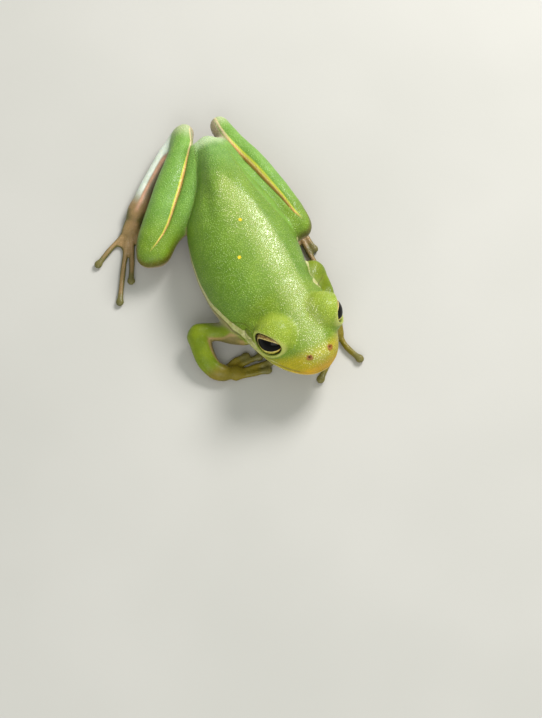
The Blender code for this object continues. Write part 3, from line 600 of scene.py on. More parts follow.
def shape_head(skin):
    """Lids, eye openings, mouth, nostrils and ears, worked into the field."""
    low = np.floor((from_head((0.0, 5.0, 1.0)) - 9.5) / VOXEL).astype(int)
    high = np.ceil((from_head((0.0, 5.0, 1.0)) + 9.5) / VOXEL).astype(int)
    low = np.maximum(low, skin.low)
    high = np.minimum(high, skin.low + skin.shape)
    window = skin.window(low, high - low)
    points = to_head(grid_points(low, high - low)).astype(np.float32)
    field = skin.values[window]

    # Lips and the line of the mouth
    level = points[..., 2]
    forward = points[..., 1]
    along_lip = ease((forward - MOUTH_CORNER + 0.4) / 0.8)
    field = field - relief(LIP_RELIEF, level - LIP_LEVEL, along_lip)
    depth = np.maximum(-field, 0.0)
    groove = np.abs(level) - MOUTH_HALF * np.clip(1.0 - depth / MOUTH_DEPTH, 0.0, 1.0) * along_lip
    groove = np.maximum(groove, -field - MOUTH_DEPTH)
    field = np.where(along_lip > 0.02, soft_max(field, -groove, 0.08), field)
    ledge = ease((forward + 0.6) / 1.6) * ease((8.0 - forward) / 3.0)
    field = field - relief(LEDGE_RELIEF, level - LEDGE_LEVEL, ledge)

    for side in (-1.0, 1.0):
        # Lid bulge and the opening over the eyeball
        centre = on_side(EYE_CENTRE, side)
        axis = on_side(EYE_AXIS, side)
        across, rise = across_and_up(axis, EYE_ROLL * side)
        from_eye = points - centre
        u = from_eye @ across
        v = from_eye @ rise
        w = from_eye @ axis
        ratio = np.sqrt((u / OPENING[0]) ** 2 + (v / OPENING[1]) ** 2)
        flare = LID_FLARE * np.maximum(w - 1.0, 0.0)
        oval = (ratio - 1.0 - flare) * OPENING[1]
        rim = np.maximum(oval, 0.9 - w)
        field = soft_max(field, -rim, 0.30)
        edge = bump(oval - 0.32, 0.2) * ease((w - 0.2) / 0.6) * ease(0.7 + v / 1.2)
        field = field - 0.07 * edge

        # Nostril with a soft rim
        away = np.linalg.norm(points - on_side(NOSTRIL, side), axis=-1)
        field = field - relief(NOSTRIL_RELIEF, away - NOSTRIL_RIM, 1.0)
        field = soft_max(field, NOSTRIL_HOLE - away, 0.12)

        # Fold from the eye over the ear to the shoulder
        away = np.full(level.shape, 9.0, np.float32)
        for (f0, z0), (f1, z1) in zip(EAR_FOLD[:-1], EAR_FOLD[1:]):
            run = math.hypot(f1 - f0, z1 - z0)
            ahead = ((forward - f0) * (f1 - f0) + (level - z0) * (z1 - z0)) / run
            ahead = np.clip(ahead, 0.0, run)
            gap = np.hypot(forward - f0 - ahead * (f1 - f0) / run, level - z0 - ahead * (z1 - z0) / run)
            away = np.minimum(away, gap)
        outside = ease((points[..., 0] * side - 4.2) / 0.8)
        field = field + (0.07 * bump(away, 0.14) - 0.04 * bump(away - 0.3, 0.2)) * outside

        # Ear disc inside a shallow ring
        offset = points - on_side(EAR_CENTRE, side)
        ear_axis = on_side(EAR_AXIS, side)
        through = offset @ ear_axis
        spoke = np.sqrt(np.maximum(np.sum(offset**2, axis=-1) - through**2, 0.0))
        near_ear = np.abs(through) < 1.2
        ring = 0.14 * bump(spoke - EAR_RADIUS, 0.14) - 0.05 * bump(spoke - EAR_RADIUS - 0.26, 0.14)
        field = field + np.where(near_ear, ring, 0.0)
    skin.values[window] = field


def polygonize(skin):
    """The skin's surface as points and four-sided faces."""
    grid = vdb.FloatGrid(background=REACH)
    grid.copyFromArray(skin.values, ijk=tuple(int(v) for v in skin.low))
    points, quads = grid.convertToQuads(0.0)
    return np.asarray(points, float) * VOXEL, np.asarray(quads)


def keep_largest(count, faces):
    """Which points belong to the largest connected surface."""
    label = np.arange(count)
    edges = np.concatenate([faces[:, [i, (i + 1) % 4]] for i in range(4)])
    while True:
        lowest = np.minimum(label[edges[:, 0]], label[edges[:, 1]])
        update = label.copy()
        np.minimum.at(update, edges[:, 0], lowest)
        np.minimum.at(update, edges[:, 1], lowest)
        update = update[update]
        if np.array_equal(update, label):
            break
        label = update
    names, sizes = np.unique(label, return_counts=True)
    return label == names[sizes.argmax()]


def facing_out(points, faces):
    """Faces of a closed surface, turned so that they face outward."""
    corner = points[faces[:, 0]]
    cross = np.cross(points[faces[:, 1]] - corner, points[faces[:, 2]] - corner)
    cross += np.cross(points[faces[:, 2]] - corner, points[faces[:, 3]] - corner)
    volume = np.sum(cross * corner)
    return faces if volume > 0.0 else faces[:, ::-1]


def relaxed(points, faces, rounds, share=0.5):
    """Evens the steps of the grid out without shrinking the form."""
    first = np.concatenate([faces[:, i] for i in range(4)])
    second = np.concatenate([faces[:, (i + 1) % 4] for i in range(4)])
    number = np.bincount(first, minlength=len(points)) + np.bincount(second, minlength=len(points))
    number = np.maximum(number, 1)[:, None]
    for turn in range(rounds * 2):
        total = np.zeros_like(points)
        for axis in range(3):
            total[:, axis] = np.bincount(first, points[second, axis], len(points))
            total[:, axis] += np.bincount(second, points[first, axis], len(points))
        step = total / number - points
        points = points + step * (share if turn % 2 == 0 else -share * 1.03)
    return points


def build_skin_field(nodes):
    """All flesh solids in one softened field, with the head's forms worked in."""
    fields = {}
    for name, obj in nodes.items():
        if not name.startswith("eye"):
            fields[name] = solid_field(obj, 1.2)
    lows = np.array([low for low, _ in fields.values()])
    highs = np.array([low + values.shape for low, values in fields.values()])
    skin = Skin(lows.min(0) - 8, highs.max(0) + 8)
    digits = [name for name in fields if name.startswith(("hand", "foot"))]
    limbs = [name for name in fields if name not in ("torso", "head")]
    union = united(skin, fields)
    trunk_away = nearest(skin, fields, ("torso", "head"))
    limb_away = nearest(skin, fields, limbs)
    skin.values = softened(union, SOFT_LIMB)
    low, core = core_field(fields["torso"], fields["head"])
    window = skin.window(low, core.shape)
    share = ease(1.0 + (trunk_away[window] - limb_away[window] + 0.1) / 1.2)
    points = grid_points(low, core.shape)
    share = np.maximum(share, ease((points[..., 1] - 9.0) / 3.5))
    skin.values[window] = (core - FULLNESS) * (1.0 - share) + skin.values[window] * share
    shape_back(skin.values[window], points)
    others = nearest(skin, fields, [name for name in fields if name not in digits])
    share = ease(0.5 + (others - nearest(skin, fields, digits)) / 1.0)
    skin.values += (softened(union, SOFT_DIGIT) - skin.values) * share
    crease(skin, fields)
    shape_head(skin)
    return skin, fields


# Meshes and objects


def mesh_object(name, points, faces):
    """A smooth-shaded object from points in the frog's frame."""
    mesh = bpy.data.meshes.new(name)
    placed = (points - ORIGIN) * MILLIMETRE
    mesh.from_pydata(placed.tolist(), [], faces)
    mesh.polygons.foreach_set("use_smooth", np.ones(len(mesh.polygons), bool))
    mesh.update()
    obj = bpy.data.objects.new(name, mesh)
    bpy.context.scene.collection.objects.link(obj)
    return obj


def baked(obj):
    """Turns the object's modifiers into its own mesh."""
    graph = bpy.context.evaluated_depsgraph_get()
    mesh = bpy.data.meshes.new_from_object(obj.evaluated_get(graph))
    obj.modifiers.clear()
    obj.data = mesh
    return obj


def thinned(obj, triangles):
    """Brings a mesh down to about the given number of triangles."""
    obj.data.calc_loop_triangles()
    count = len(obj.data.loop_triangles)
    if count > triangles:
        decimate = obj.modifiers.new("Decimate", "DECIMATE")
        decimate.ratio = triangles / count
        decimate.use_collapse_triangulate = True
        baked(obj)
    return obj


def places(obj):
    """The mesh's points in the frog's frame."""
    points = np.empty(len(obj.data.vertices) * 3)
    obj.data.vertices.foreach_get("co", points)
    return points.reshape(-1, 3) / MILLIMETRE + ORIGIN


def build_skin(frame):
    """The one skin over all of the frog's flesh."""
    skin, fields = build_skin_field(frame["nodes"])
    points, quads = polygonize(skin)
    kept = keep_largest(len(points), quads)
    number = np.cumsum(kept) - 1
    quads = number[quads[kept[quads[:, 0]]]]
    points = relaxed(points[kept], quads, 3)
    points[:, 2] = np.maximum(points[:, 2], 0.0)
    obj = mesh_object("skin", points, facing_out(points, quads).tolist())
    thinned(obj, SKIN_TRIANGLES)
    obj.data.polygons.foreach_set("use_smooth", np.ones(len(obj.data.polygons), bool))
    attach(obj, "root")
    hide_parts(*fields)
    return obj, fields


def build_eye(name, side):
    """An eyeball with its iris and pupil, under a clear wet front."""
    centre = from_head(on_side(EYE_CENTRE, side))
    axis = on_side(EYE_AXIS, side)
    across, rise = across_and_up(axis, EYE_ROLL * side)
    turn = np.array((across, rise, axis)) @ HEAD_AXES
    around = np.arange(EYE_SIDES) * 2.0 * math.pi / EYE_SIDES
    rows = []
    for i in range(1, EYE_RINGS):
        polar = math.pi * i / EYE_RINGS
        depth = EYE_DEPTH if polar < 0.5 * math.pi else EYE_RADIUS
        ring = math.sin(polar) * EYE_RADIUS
        level = np.full(EYE_SIDES, math.cos(polar) * depth)
        rows.append(np.stack((np.cos(around) * ring, np.sin(around) * ring, level), axis=-1))
    local = np.concatenate([[(0.0, 0.0, EYE_DEPTH)]] + rows + [[(0.0, 0.0, -EYE_RADIUS)]])
    faces = []
    last = len(local) - 1
    for j in range(EYE_SIDES):
        k = (j + 1) % EYE_SIDES
        faces.append((0, 1 + j, 1 + k))
        for i in range(EYE_RINGS - 2):
            a = 1 + i * EYE_SIDES
            b = a + EYE_SIDES
            faces.append((a + j, b + j, b + k, a + k))
        a = 1 + (EYE_RINGS - 2) * EYE_SIDES
        faces.append((last, a + k, a + j))
    obj = mesh_object(name, local @ turn + centre, faces)
    add_field(obj, "eye_across", local[:, 0] * side)
    add_field(obj, "eye_up", local[:, 1])
    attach(obj, "root")
    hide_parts(name)
    return obj


def add_field(obj, name, values):
    """A number at each point of the mesh, for the materials."""
    attribute = obj.data.attributes.new(name, "FLOAT", "POINT")
    attribute.data.foreach_set("value", np.asarray(values, np.float32))


def add_tone(obj, name, values):
    """A colour at each point of the mesh, for the materials."""
    attribute = obj.data.attributes.new(name, "FLOAT_COLOR", "POINT")
    full = np.concatenate((values, np.ones((len(values), 1))), axis=1)
    attribute.data.foreach_set("color", full.astype(np.float32).ravel())


# Markings


def blended(base, name, share):
    """Colours moved toward a named tone by a share at each point."""
    return base + (np.array(TONES[name]) - base) * np.clip(share, 0.0, 1.0)[:, None]


def rises(value, low, high):
    """0 below low, 1 above high, smooth between; low may be the larger."""
    return ease((value - low) / (high - low))


def joint_middle(name):
    """The middle of a joint."""
    start, end, _, _ = JOINTS[name]
    return (np.array(start) + np.array(end)) / 2.0


def along_limb(points, first, second):
    """Share of the way from one joint to the next."""
    start = joint_middle(first)
    run = joint_middle(second) - start
    return (points - start) @ run / (run @ run)


def stripe_line(fields, side):
    """Points of the pale stripe on one flank, from the groin to the snout."""
    starts = [((0.2, y, z), np.array((side, 0.0, 0.0))) for y, z in FLANK_STRIPE]
    starts += [(from_head((0.0, forward, level)), HEAD_AXES[0] * side) for forward, level in LIP_STRIPE]
    steps = np.arange(0.0, 12.0, 0.05)[:, None]
    found = []
    for start, heading in starts:
        ray = np.array(start) + steps * heading
        away = np.min([sample(*fields[name], ray) for name in ("torso", "head")], axis=0)
        inside = np.nonzero(away < 0.0)[0]
        if len(inside):
            found.append(ray[inside[-1]])
    return np.array(found)


def from_stripe(points, line):
    """Height above a stripe, along the skin, and the place of the nearest point on it."""
    best = np.full(len(points), 1e9)
    nearest_y = np.zeros(len(points))
    signed = np.zeros(len(points))
    for start, end in zip(line[:-1], line[1:]):
        run = end - start
        share = np.clip((points - start) @ run / (run @ run), 0.0, 1.0)
        offset = points - start - share[:, None] * run
        away = np.linalg.norm(offset, axis=1)
        closer = away < best
        best = np.where(closer, away, best)
        nearest_y = np.where(closer, start[1] + share * run[1], nearest_y)
        signed = np.where(closer, np.where(offset[:, 2] > 0.0, away, -away), signed)
    return signed, nearest_y


def from_discs(points):
    """Distance over the floor from the nearest disc of a digit."""
    away = [np.hypot(points[:, 0] - x, points[:, 1] - y) for x, y in DISCS]
    return np.min(away, axis=0)


def solid_shares(distances):
    """How much each point of the skin belongs to each solid."""
    least = np.min(list(distances.values()), axis=0)
    shares = {name: np.exp(-(away - least) / 0.15) for name, away in distances.items()}
    total = np.sum(list(shares.values()), axis=0)
    return {name: share / total for name, share in shares.items()}


def trunk_tones(points, normals, level):
    """Colours of the back, flanks and belly."""
    count = len(points)
    up = normals[:, 2]
    x, y, z = points.T
    across = x - along(SPINE, y)
    tone = np.tile(np.array(TONES["back"]), (count, 1))
    tone = blended(tone, "back_mid", bump(across, 3.2) * rises(y, 10.0, 2.0))
    tone = blended(tone, "rump", rises(y, 3.0, 11.0))
    # Painted shade where the flank turns down, away from the light
    tone = blended(tone, "flank", rises(level, 3.2, 0.5) * rises(up, 0.9, 0.3) * 0.8)
    # Painted shade in the hollows beside the hips
    shown = rises(y, -3.0, 4.0) * rises(y, 13.2, 11.0)
    tone = blended(tone, "valley", bump(across + along(VALLEY, y), 0.75) * shown * 0.55)
    # Pale rim round the vent, partly the skin's own colour, partly a painted highlight
    tone = blended(tone, "rump_edge", rises(y, 10.6, 13.2) * rises(z, 2.6, 4.8) * 0.85)
    tone = blended(tone, "low_flank", rises(level, -0.35, -0.6))
    tone = blended(tone, "belly", rises(level, -0.9, -2.6))
    return tone


def head_tones(place):
    """Colours of the head from places in its own frame."""
    count = len(place)
    tone = np.tile(np.array(TONES["head"]), (count, 1))
    # Tops of the lids yellower green, partly their own colour, partly a painted highlight
    for side in (-1.0, 1.0):
        away = np.linalg.norm(place - on_side(EYE_CENTRE, side), axis=1)
        crown = rises(away, 3.9, 3.0) * rises(place[:, 2], 3.4, 5.4)
        tone = blended(tone, "lid", crown)
    forward = place[:, 1]
    tone = blended(tone, "cheek", rises(place[:, 2], 3.0, 1.4) * rises(forward, 1.5, 4.0))
    tone = blended(tone, "snout", rises(forward + (2.4 - place[:, 2]) * 0.9, 7.6, 10.2))
    tone = blended(tone, "lip", rises(forward - place[:, 2] * 1.3, 8.4, 10.6) * 0.85)
    tone = blended(tone, "throat", rises(place[:, 2], -0.1, -0.8))
    tone = blended(tone, "belly", rises(place[:, 2], -1.0, -2.2) * rises(forward, 9.0, 4.0))
    for side in (-1.0, 1.0):
        away = np.linalg.norm(place - on_side(EAR_CENTRE, side), axis=1)
        tone = blended(tone, "ear", rises(away, EAR_RADIUS + 0.12, EAR_RADIUS - 0.12) * 0.8)
    return tone


def leg_tones(name, points, normals):
    """Colours of a thigh, shank, tarsus or foot."""
    kind, side = name.rsplit("_", 1)
    sign = -1.0 if side == "right" else 1.0
    count = len(points)
    up = normals[:, 2]
    if kind == "thigh":
        share = along_limb(points, "hip_" + side, "knee_" + side)
        tone = np.tile(np.array(TONES["leg"]), (count, 1))
        tone = blended(tone, "leg_low", rises(share, 0.45, 0.95) * 0.8)
        tone = blended(tone, "knee", rises(share, 0.7, 1.05) * rises(up, 0.75, 0.25))
        tone = blended(tone, "under_leg", rises(points[:, 2], 3.3, 2.3) * 0.9)
        return blended(tone, "under_leg", rises(up, 0.15, -0.2))
    if kind == "shank":
        share = along_limb(points, "knee_" + side, "heel_" + side)
        tone = np.tile(np.array(TONES["leg"]), (count, 1))
        tone = blended(tone, "leg_low", rises(share, 0.35, -0.02) * 0.8)
        tone = blended(tone, "knee", rises(share, 0.2, -0.05) * rises(up, 0.75, 0.25))
        tone = blended(tone, "heel", rises(share, 0.93, 1.07) * 0.8)
        inner = rises(beside_leg(points, side), 0.05, -0.2) * rises(points[:, 1], 10.5, 12.5)
        tone = blended(tone, "heel_inner", inner)
        tone = blended(tone, "under_leg", rises(points[:, 2], 2.7, 1.9) * 0.9)
        return blended(tone, "under_leg", rises(up, 0.05, -0.3))
    if kind == "tarsus":
        share = along_limb(points, "heel_" + side, "ankle_" + side)
        run = joint_middle("ankle_" + side) - joint_middle("heel_" + side)
        outward = np.array((-run[1], run[0], 0.0)) * sign
        outward /= np.linalg.norm(outward)
        lateral = normals @ outward
        tone = np.tile(np.array(TONES["tarsus_inner"]), (count, 1))
        white = rises(lateral, 0.02, 0.24) * rises(share, 1.0, 0.72)
        tone = blended(tone, "foot", rises(share, 0.7, 1.0))
        tone = blended(tone, "tarsus_line", bump(lateral + 0.06, 0.17) * rises(up, 0.1, 0.5))
        tone = blended(tone, "tarsus_outer", white * TARSUS_WHITE[side])
        return blended(tone, "under_leg", rises(up, -0.1, -0.5) * 0.8)
    # Toes lighter on top and darker on the sides and webs: partly their own colour, partly painted highlight
    # and painted shade
    tone = np.tile(np.array(TONES["foot_dark"]), (count, 1))
    tone = blended(tone, "foot", rises(up, 0.55, 0.95))
    tone = blended(tone, "disc", rises(from_discs(points), 1.5, 0.7) * 0.9)
    return blended(tone, "under_leg", rises(up, -0.2, -0.7) * 0.6)


def arm_tones(name, points, normals):
    """Colours of an upper arm, forearm or hand."""
    kind, side = name.rsplit("_", 1)
    count = len(points)
    up = normals[:, 2]
    if kind == "hand":
        tone = np.tile(np.array(TONES["hand"]), (count, 1))
        tone = blended(tone, "disc", rises(from_discs(points), 1.5, 0.7) * 0.8)
        return blended(tone, "under_leg", rises(up, -0.2, -0.7) * 0.6)
    ends = ("shoulder_", "elbow_") if kind == "upper_arm" else ("elbow_", "wrist_")
    share = along_limb(points, ends[0] + side, ends[1] + side)
    middle = (joint_middle("shoulder_" + side) + joint_middle("wrist_" + side)) / 2.0
    toward = middle - points
    toward[:, 2] = 0.0
    toward /= np.maximum(np.linalg.norm(toward, axis=1), 1e-6)[:, None]
    inner = np.sum(normals * toward, axis=1) - 0.35 * up
    tone = np.tile(np.array(TONES["arm"]), (count, 1))
    tone = blended(tone, "arm_line", bump(inner - 0.48, 0.13) * 0.8)
    tone = blended(tone, "arm_inner", rises(inner, 0.46, 0.66))
    if kind == "forearm":
        tone = blended(tone, "hand", rises(share, 0.75, 1.05))
    else:
        rear = rises(normals[:, 1], 0.0, 0.5) * rises(share, 0.8, 0.4)
        tone = blended(tone, "arm_rear", rear)
    return blended(tone, "under_leg", rises(up, -0.1, -0.5) * 0.6)


def stripe_level(points, fields):
    """Height above the nearer flank's stripe, and the y of the nearest point on it."""
    level = np.full(len(points), 9.0)
    stripe_y = np.zeros(len(points))
    for side in (-1.0, 1.0):
        signed, nearest_y = from_stripe(points, stripe_line(fields, side))
        closer = np.abs(signed) < np.abs(level)
        level = np.where(closer, signed, level)
        stripe_y = np.where(closer, nearest_y, stripe_y)
    return level, stripe_y


def skin_tones(points, normals, shares, level, band):
    """The skin's colours, from the solids that each point belongs to."""
    place = to_head(points)
    trunk = blended(trunk_tones(points, normals, level), "leg", band * 0.65)
    share = rises(place[:, 1], -1.4, 1.2)[:, None]
    core = trunk * (1.0 - share) + head_tones(place) * share
    tone = core * (shares["torso"] + shares["head"])[:, None]
    for name, share in shares.items():
        if name.startswith(("thigh", "shank", "tarsus", "foot")):
            tone += leg_tones(name, points, normals) * share[:, None]
        elif name not in ("torso", "head"):
            tone += arm_tones(name, points, normals) * share[:, None]
    return tone


def mark_legs(obj, points, normals, shares):
    """Where the lines of the legs run."""
    y = points[:, 1]
    line = np.full(len(points), 4.0)
    line_on = np.zeros(len(points))
    heel = np.zeros(len(points))
    for side in ("right", "left"):
        legs = shares["thigh_" + side] + shares["shank_" + side]
        gap = beside_leg(points, side)
        full, middle, span = LEG_LINE_WIDE[side]
        wide = full * (0.40 + 0.60 * bump(y - middle, span))
        close = np.abs(gap) < np.abs(line)
        line = np.where(close, gap / wide, line)
        shown = rises(legs, 0.35, 0.75) * rises(y, *LEG_LINE_END[side]) * rises(normals[:, 2], -0.1, 0.2)
        line_on = np.where(close, shown, line_on)
        heel = np.where(close, rises(y, 10.5, 14.0), heel)
    add_field(obj, "leg_line", np.clip(line, -4.0, 4.0))
    add_field(obj, "heel", heel)
    add_field(obj, "leg_on", line_on)


def mark_folds(obj, points, distances):
    """Where the skin of two solids meets, for a line of painted shade."""
    joints = joint_share(points)
    for name, inner, outer in FOLDS:
        near = np.minimum(distances[inner + "_right"], distances[inner + "_left"])
        far = np.min([distances[key] for key in distances if key.startswith(outer)], axis=0)
        gap = near - far
        lost = rises(np.maximum(near, far), 0.5, 1.1) + rises(joints, 0.6, 1.0)
        add_field(obj, name, np.clip(gap + np.where(gap < 0.0, -3.0, 3.0) * lost, -3.0, 3.0))


def mark_head(obj, points, shares):
    """Where the rims of the lids, the fold over the ear and the mouth run."""
    place = to_head(points)
    lid = np.full(len(points), 3.0)
    for side in (-1.0, 1.0):
        axis = on_side(EYE_AXIS, side)
        across, rise = across_and_up(axis, EYE_ROLL * side)
        offset = place - on_side(EYE_CENTRE, side)
        ratio = np.sqrt(((offset @ across) / OPENING[0]) ** 2 + ((offset @ rise) / OPENING[1]) ** 2)
        edge = np.where(offset @ axis > 0.3, (ratio - 1.0) * OPENING[1], 3.0)
        lid = np.minimum(lid, edge)
    add_field(obj, "lid_edge", lid)
    over = place[:, 2] - along(EAR_FOLD, place[:, 1])
    shown = (place[:, 1] < 2.9) & (place[:, 1] > -1.6) & (np.abs(place[:, 0]) > 3.5)
    add_field(obj, "ear_line", np.where(shown, np.clip(over, -3.0, 3.0), 3.0))
    shown = (place[:, 1] > MOUTH_CORNER) & (shares["head"] > 0.9)
    add_field(obj, "mouth", np.where(shown, np.abs(place[:, 2]), 3.0))


def mark_grain(obj, points, normals, shares, level, band):
    """Where the skin is grainy, and where painted glints and sheen go on the back and head, which also get
    more coat.
    """
    x, y, _ = points.T
    place = to_head(points)
    green = shares["torso"] * rises(level, -0.2, 0.6) + shares["head"] * rises(place[:, 2], 0.3, 1.6)
    green = green * (1.0 - 0.6 * band)
    legs = sum(shares[part + side] for part in ("thigh", "shank") for side in ("_left", "_right"))
    add_field(obj, "grain", np.clip(green + legs * 0.45 + 0.2, 0.0, 1.0))
    inward = along(GLINT_LEFT, y) - x
    glint = rises(inward, -0.8, 0.8) * rises(x - along(GLINT_RIGHT, y), -0.6, 1.8)
    glint = glint * (0.45 + 0.55 * bump(inward - 1.2, 2.2)) * rises(y, 8.5, 5.5)
    glint = np.maximum(glint, 0.14 * rises(y, 9.0, 3.0))
    glint = np.maximum(glint, 0.15 * rises(place[:, 1], 0.0, 4.0) * rises(place[:, 1], 11.0, 8.0))
    add_field(obj, "glint", np.clip(glint * green, 0.0, 1.0) * rises(normals[:, 2], 0.1, 0.6))


def paint_skin(obj, fields):
    """Writes the skin's colours and the places of its markings, painted shade and painted glints into the
    mesh.
    """
    points = places(obj)
    normals = np.empty(len(points) * 3)
    obj.data.vertices.foreach_get("normal", normals)
    normals = normals.reshape(-1, 3)
    distances = {name: sample(low, values, points) for name, (low, values) in fields.items()}
    shares = solid_shares(distances)
    level, stripe_y = stripe_level(points, fields)
    y = points[:, 1]
    hip = beside(points, HIP_LINE)
    band = rises(-hip, -0.15, 0.2) * rises(y, -6.0, -4.2) * rises(y, 12.5, 11.0)
    add_tone(obj, "tone", skin_tones(points, normals, shares, level, band))

    # Stripe
    flesh = rises(shares["torso"] + shares["head"], 0.3, 0.7)
    half = along(STRIPE_HALF, stripe_y)
    over = np.sign(level) * np.maximum(np.abs(level) - half, -half)
    add_field(obj, "stripe", np.clip(over, -3.0, 3.0))
    add_field(obj, "stripe_in", half - np.abs(level))
    add_field(obj, "stripe_on", flesh * rises(stripe_y, *STRIPE_FADE))

    # Painted shade along the fold beside the hip
    shown = band + rises(hip, 0.8, 0.4) > 0.0
    add_field(obj, "hip_line", np.clip(np.where(shown, hip, 3.0), -3.0, 3.0))
    add_field(obj, "hip_on", shares["torso"] * rises(y, -5.5, -3.0) * rises(y, 10.5, 8.0))

    mark_legs(obj, points, normals, shares)
    mark_folds(obj, points, distances)
    mark_head(obj, points, shares)
    mark_grain(obj, points, normals, shares, level, band)


# Materials


class Shading:
    """Short calls for building a material's nodes."""

    def __init__(self, name):
        self.material = bpy.data.materials.new(name)
        self.material.use_nodes = True
        self.tree = self.material.node_tree
        self.shader = self.tree.nodes["Principled BSDF"]
        self.place = self.scaled(self.node("ShaderNodeTexCoord").outputs["Object"], 1.0 / MILLIMETRE)

    def node(self, kind):
        """A new node."""
        return self.tree.nodes.new(kind)

    def put(self, socket, value):
        """Links an output to a socket, or sets the socket to a number or colour."""
        if isinstance(value, bpy.types.NodeSocket):
            self.tree.links.new(value, socket)
        elif isinstance(value, tuple) and len(value) == 3 and socket.type == "RGBA":
            socket.default_value = (*value, 1.0)
        else:
            socket.default_value = value

    def scaled(self, vector, size):
        """A vector times a number, or stretched by three."""
        node = self.node("ShaderNodeVectorMath")
        node.operation = "MULTIPLY"
        self.put(node.inputs[0], vector)
        node.inputs[1].default_value = size if isinstance(size, tuple) else (size, size, size)
        return node.outputs[0]

    def field(self, name):
        """A number stored in the mesh."""
        node = self.node("ShaderNodeAttribute")
        node.attribute_name = name
        return node.outputs["Fac"]

    def tone(self, name):
        """A colour stored in the mesh."""
        node = self.node("ShaderNodeAttribute")
        node.attribute_name = name
        return node.outputs["Color"]

    def math(self, operation, a, b=0.0):
        """Arithmetic on two numbers."""
        node = self.node("ShaderNodeMath")
        node.operation = operation
        self.put(node.inputs[0], a)
        self.put(node.inputs[1], b)
        return node.outputs[0]

    def times(self, a, b):
        """The product of two numbers."""
        return self.math("MULTIPLY", a, b)

    def plus(self, a, b):
        """The sum of two numbers."""
        return self.math("ADD", a, b)

    def most(self, a, b):
        """The larger of two numbers."""
        return self.math("MAXIMUM", a, b)

    def about(self, noise, size):
        """Noise moved to lie about 0, times a size."""
        return self.times(self.math("SUBTRACT", noise, 0.5), size)

    def length(self, a, b):
        """The length of a flat offset."""
        return self.math("SQRT", self.plus(self.times(a, a), self.times(b, b)))

    def step(self, value, low, high):
        """0 at low and 1 at high, smooth between."""
        node = self.node("ShaderNodeMapRange")
        node.interpolation_type = "SMOOTHSTEP"
        node.clamp = True
        self.put(node.inputs["Value"], value)
        if low < high:
            ends = (low, high, 0.0, 1.0)
        else:
            ends = (high, low, 1.0, 0.0)
        for socket, number in zip(("From Min", "From Max", "To Min", "To Max"), ends):
            node.inputs[socket].default_value = number
        return node.outputs["Result"]

    def band(self, value, middle, half, soft):
        """1 within a band around a value, with soft edges."""
        away = self.math("ABSOLUTE", self.math("SUBTRACT", value, middle))
        return self.step(away, half + soft, half - soft)

    def away(self, *centres):
        """Distance in millimetres from the nearest of some places of the frog's frame."""
        nearest = None
        for centre in centres:
            node = self.node("ShaderNodeVectorMath")
            node.operation = "DISTANCE"
            self.put(node.inputs[0], self.place)
            node.inputs[1].default_value = tuple(np.array(centre) - ORIGIN)
            away = node.outputs["Value"]
            nearest = away if nearest is None else self.math("MINIMUM", nearest, away)
        return nearest

    def mix(self, share, a, b, kind="MIX"):
        """A blend of two colours."""
        node = self.node("ShaderNodeMix")
        node.data_type = "RGBA"
        node.blend_type = kind
        self.put(node.inputs["Factor"], share)
        self.put(node.inputs["A"], a)
        self.put(node.inputs["B"], b)
        return node.outputs["Result"]

    def over(self, base, share, strength, colour):
        """A colour laid over another where a share is 1, at some strength."""
        return self.mix(self.times(share, strength), base, colour)

    def tinted(self, colour, tint):
        """A colour multiplied by a tint."""
        return self.mix(1.0, colour, tint, "MULTIPLY")

    def noise(self, scale, detail, place=None):
        """Soft noise with features of about 1 / scale millimetres."""
        node = self.node("ShaderNodeTexNoise")
        node.inputs["Scale"].default_value = scale
        node.inputs["Detail"].default_value = detail
        self.put(node.inputs["Vector"], place or self.place)
        return node.outputs["Fac"]

    def cells(self, scale):
        """Cells of about 1 / scale millimetres: distance from the middle and a number for each."""
        node = self.node("ShaderNodeTexVoronoi")
        node.inputs["Scale"].default_value = scale
        node.inputs["Randomness"].default_value = 0.85
        self.put(node.inputs["Vector"], self.place)
        split = self.node("ShaderNodeSeparateColor")
        self.put(split.inputs[0], node.outputs["Color"])
        return node.outputs["Distance"], split.outputs[0]

    def bump(self, height, distance, strength, normal=None):
        """A relief of the given height in millimetres."""
        node = self.node("ShaderNodeBump")
        node.inputs["Distance"].default_value = distance * MILLIMETRE
        self.put(node.inputs["Strength"], strength)
        self.put(node.inputs["Height"], height)
        if normal is not None:
            self.put(node.inputs["Normal"], normal)
        return node.outputs["Normal"]

    def finish(self, **inputs):
        """Sets the shader's inputs, written with _ for spaces."""
        for name, value in inputs.items():
            self.put(self.shader.inputs[name.replace("_", " ")], value)
        return self.material


